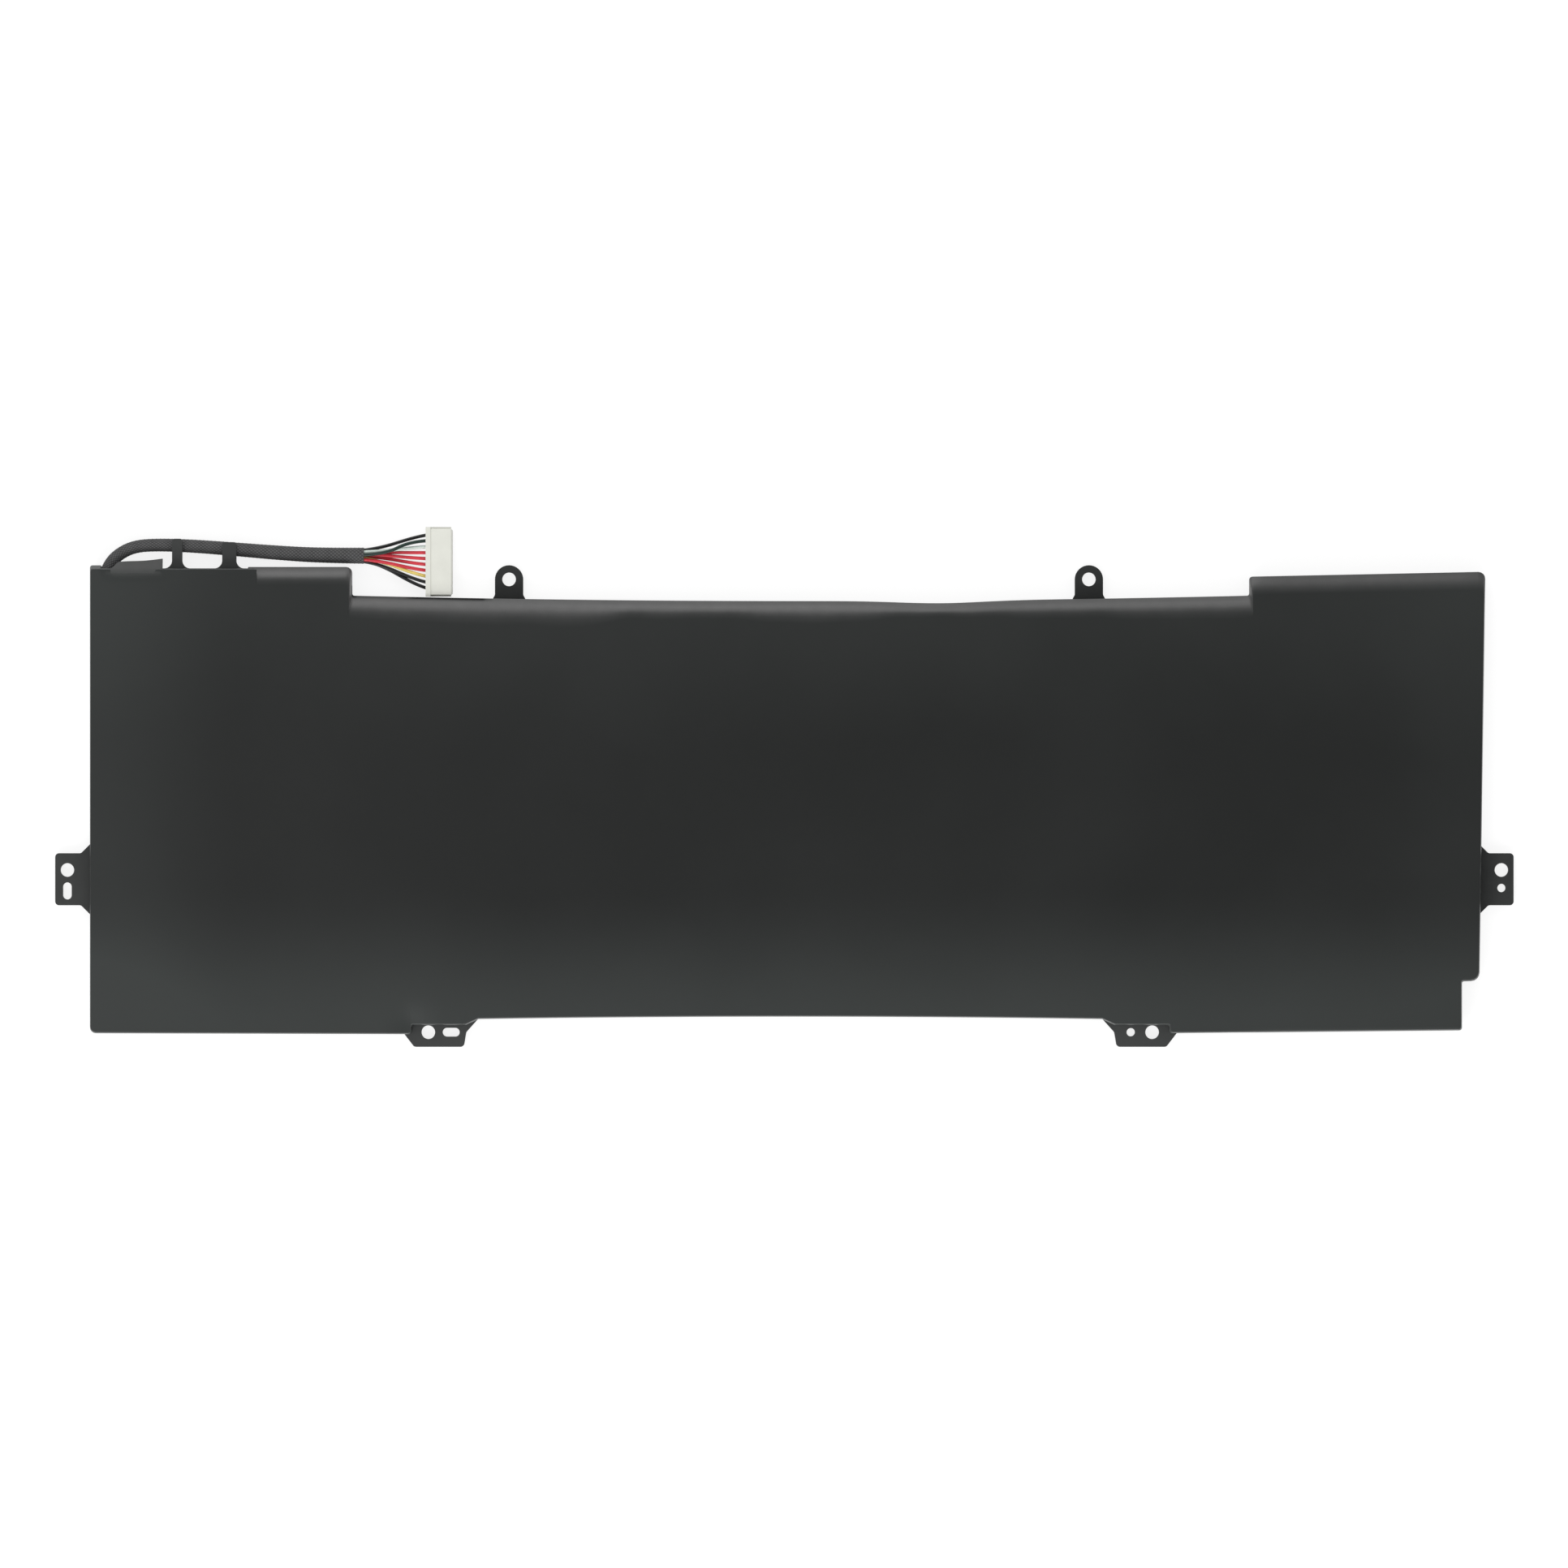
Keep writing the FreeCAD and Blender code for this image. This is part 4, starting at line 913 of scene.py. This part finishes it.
class BATTERY_OT_cad_finishes(bpy.types.Operator):
    """Give the frame, the connector and the pieces inside the pack their finishes"""

    bl_idname = "battery.cad_finishes"
    bl_label = "CAD Finishes"

    def execute(self, context):
        tints = context.scene.battery_finish
        lead = context.scene.battery_lead
        foil = grained("pouch_foil", tints.foil, 0.36, 0.5, 0.01, 0.06, 1.0)
        nickel = grained("nickel", tints.nickel, 0.32, 0.3, 0.006, 0.08, 1.0)
        chip = grained("chip_plastic", (0.018, 0.018, 0.02), 0.55, 0.08, 0.006, 0.12)
        ceramic = grained("fired_ceramic", tints.ceramic, 0.45, 0.1, 0.006, 0.2)
        finishes = {
            "frame": frame_finish(tints),
            "connector_housing": grained("connector_nylon", tints.nylon, 0.44, 0.3, 0.008, 0.03),
            "crimp_contacts": grained("tinned_contacts", (0.66, 0.65, 0.62), 0.3, 0.2, 0.004, 0.08, 1.0),
            "positive_tabs": grained("tab_aluminium", (0.72, 0.72, 0.73), 0.3, 0.3, 0.006, 0.06, 1.0),
            "negative_tabs": nickel,
            "weld_pads": nickel,
            "cell_adhesive": grained("adhesive_tape", (0.5, 0.48, 0.42), 0.6, 0.4, 0.02, 0.1),
            "protection_board": grained("solder_mask", tints.mask, 0.3, 0.6, 0.008, 0.25),
            "board_foam": grained("open_foam", (0.03, 0.03, 0.031), 0.85, 0.5, 0.15, 0.35),
            "gauge_chip": chip,
            "discharge_switch": chip,
            "charge_switch": chip,
            "sense_resistor": ceramic,
            "board_fuse": ceramic,
            "thermistor": ceramic,
            "filter_capacitors": ceramic,
            "insulating_paper": grained("insulating_paper", tints.paper, 0.7, 0.35, 0.02, 0.15),
            "lead_tails": insulation_finish("tails", lead.black),
        }
        finishes.update({f"cell_{i}": foil for i in range(1, 7)})
        for node, material in finishes.items():
            dress(node, material)
        return {"FINISHED"}


def softbox(name, place, aim, width, depth, power):
    """A soft rectangular light at a place, turned to an aim, that the camera doesn't see."""
    data = bpy.data.lights.new(name, "AREA")
    data.shape = "RECTANGLE"
    data.size, data.size_y, data.energy = width, depth, power
    lamp = bpy.data.objects.new(name, data)
    lamp.location = place
    lamp.rotation_euler = (Vector(aim) - Vector(place)).to_track_quat("-Z", "Y").to_euler()
    lamp.visible_camera = False
    bpy.context.scene.collection.objects.link(lamp)


def seen_directly(tree):
    """One for rays from the camera, a reflection or a clear piece, nought for rays that light a surface."""
    path = put(tree, "ShaderNodeLightPath").outputs
    seen = combine(tree, "MAXIMUM", path["Is Camera Ray"], path["Is Glossy Ray"])
    return combine(tree, "MAXIMUM", seen, path["Is Transmission Ray"])


def floor_finish():
    """White floor: a grey that takes the pack's shadow, with its own light for the rays that see it."""
    material = bpy.data.materials.new("studio_floor")
    material.use_nodes = True
    tree = material.node_tree
    tree.nodes.clear()
    grey = put(tree, "ShaderNodeBsdfDiffuse", {"Color": (FLOOR_GREY, FLOOR_GREY, FLOOR_GREY, 1.0)})
    glow = put(tree, "ShaderNodeEmission", {"Strength": spread(tree, seen_directly(tree), 0.0, FLOOR_GLOW)})
    both = put(tree, "ShaderNodeAddShader", {0: grey.outputs[0], 1: glow.outputs[0]})
    put(tree, "ShaderNodeOutputMaterial", {"Surface": both.outputs[0]})
    return material


class BATTERY_OT_stage(bpy.types.Operator):
    """Set up the camera, the white floor and the studio light"""

    bl_idname = "battery.stage"
    bl_label = "Stage"

    def execute(self, context):
        scene = context.scene
        stage = scene.battery_stage
        camera = bpy.data.objects.new("camera", bpy.data.cameras.new("camera"))
        camera.data.sensor_width = SENSOR
        camera.data.lens = SENSOR * stage.camera_height / stage.view_width
        camera.location = (stage.view_x, stage.view_y, stage.camera_height + VIEW_LEVEL)
        scene.collection.objects.link(camera)
        scene.camera = camera
        half = stage.floor_size / 2
        corners = [(-half, -half, 0), (half, -half, 0), (half, half, 0), (-half, half, 0)]
        mesh = bpy.data.meshes.new("floor")
        mesh.from_pydata(corners, [], [(0, 1, 2, 3)])
        mesh.materials.append(floor_finish())
        floor = bpy.data.objects.new("floor", mesh)
        floor.location.z = -FLOOR_GAP
        scene.collection.objects.link(floor)
        softbox("top_softbox", (-0.2, 1.0, 0.6), (-0.05, 0.04, 0), 1.0, 0.7, stage.top_box)
        softbox("left_softbox", (-0.55, -0.25, 1.1), (-0.05, 0, 0), 0.7, 0.9, stage.left_box)
        softbox("low_softbox", (-0.2, -1.0, 0.7), (0, -0.04, 0), 1.2, 0.6, stage.low_box)
        world = bpy.data.worlds.new("studio")
        world.use_nodes = True
        tree = world.node_tree
        way = put(tree, "ShaderNodeSeparateXYZ", {0: put(tree, "ShaderNodeTexCoord").outputs["Generated"]})
        low, high = CEILING_HEIGHTS
        inputs = {"Value": way.outputs["Z"], "From Min": low, "From Max": high}
        inputs.update({"To Min": 1.0, "To Max": stage.ceiling})
        shown = put(tree, "ShaderNodeMapRange", inputs).outputs["Result"]
        background = tree.nodes["Background"].inputs
        background["Color"].default_value = (1.0, 1.0, 1.0, 1.0)
        tree.links.new(spread(tree, seen_directly(tree), stage.world, shown), background["Strength"])
        scene.world = world
        scene.view_settings.view_transform = "Standard"
        return {"FINISHED"}


class BATTERY_PT_pack(bpy.types.Panel):
    """Settings and steps of the battery pack"""

    bl_idname = "BATTERY_PT_pack"
    bl_label = "Laptop Battery"
    bl_space_type = "VIEW_3D"
    bl_region_type = "UI"
    bl_category = "Battery"

    def draw(self, context):
        for name, operators in PANEL_ROWS:
            settings = getattr(context.scene, name)
            column = self.layout.column(align=True)
            for key in settings.__annotations__:
                column.prop(settings, key)
            for operator in operators:
                column.operator(operator)


PANEL_ROWS = (
    ("battery_stage", ("battery.stage",)),
    ("battery_lead", ("battery.fan_wires", "battery.lead_sleeve")),
    ("battery_film", ("battery.upper_film",)),
    ("battery_finish", ("battery.cad_finishes",)),
)
GROUPS = {
    "battery_stage": StageSettings,
    "battery_lead": LeadSettings,
    "battery_film": FilmSettings,
    "battery_finish": FinishSettings,
}
CLASSES = (
    *GROUPS.values(),
    BATTERY_OT_stage,
    BATTERY_OT_fan_wires,
    BATTERY_OT_lead_sleeve,
    BATTERY_OT_upper_film,
    BATTERY_OT_cad_finishes,
    BATTERY_PT_pack,
)


def register():
    """Registers the classes and hangs their settings on the scene."""
    for one in CLASSES:
        bpy.utils.register_class(one)
    for name, group in GROUPS.items():
        setattr(bpy.types.Scene, name, bpy.props.PointerProperty(type=group))


def unregister():
    """Takes the settings and the classes away again."""
    for name in GROUPS:
        delattr(bpy.types.Scene, name)
    for one in reversed(CLASSES):
        bpy.utils.unregister_class(one)


def main():
    """Registers the add-on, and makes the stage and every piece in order."""
    register()
    for _, operators in PANEL_ROWS:
        for operator in operators:
            group, name = operator.split(".")
            getattr(getattr(bpy.ops, group), name)()


if __name__ == "__main__":
    main()
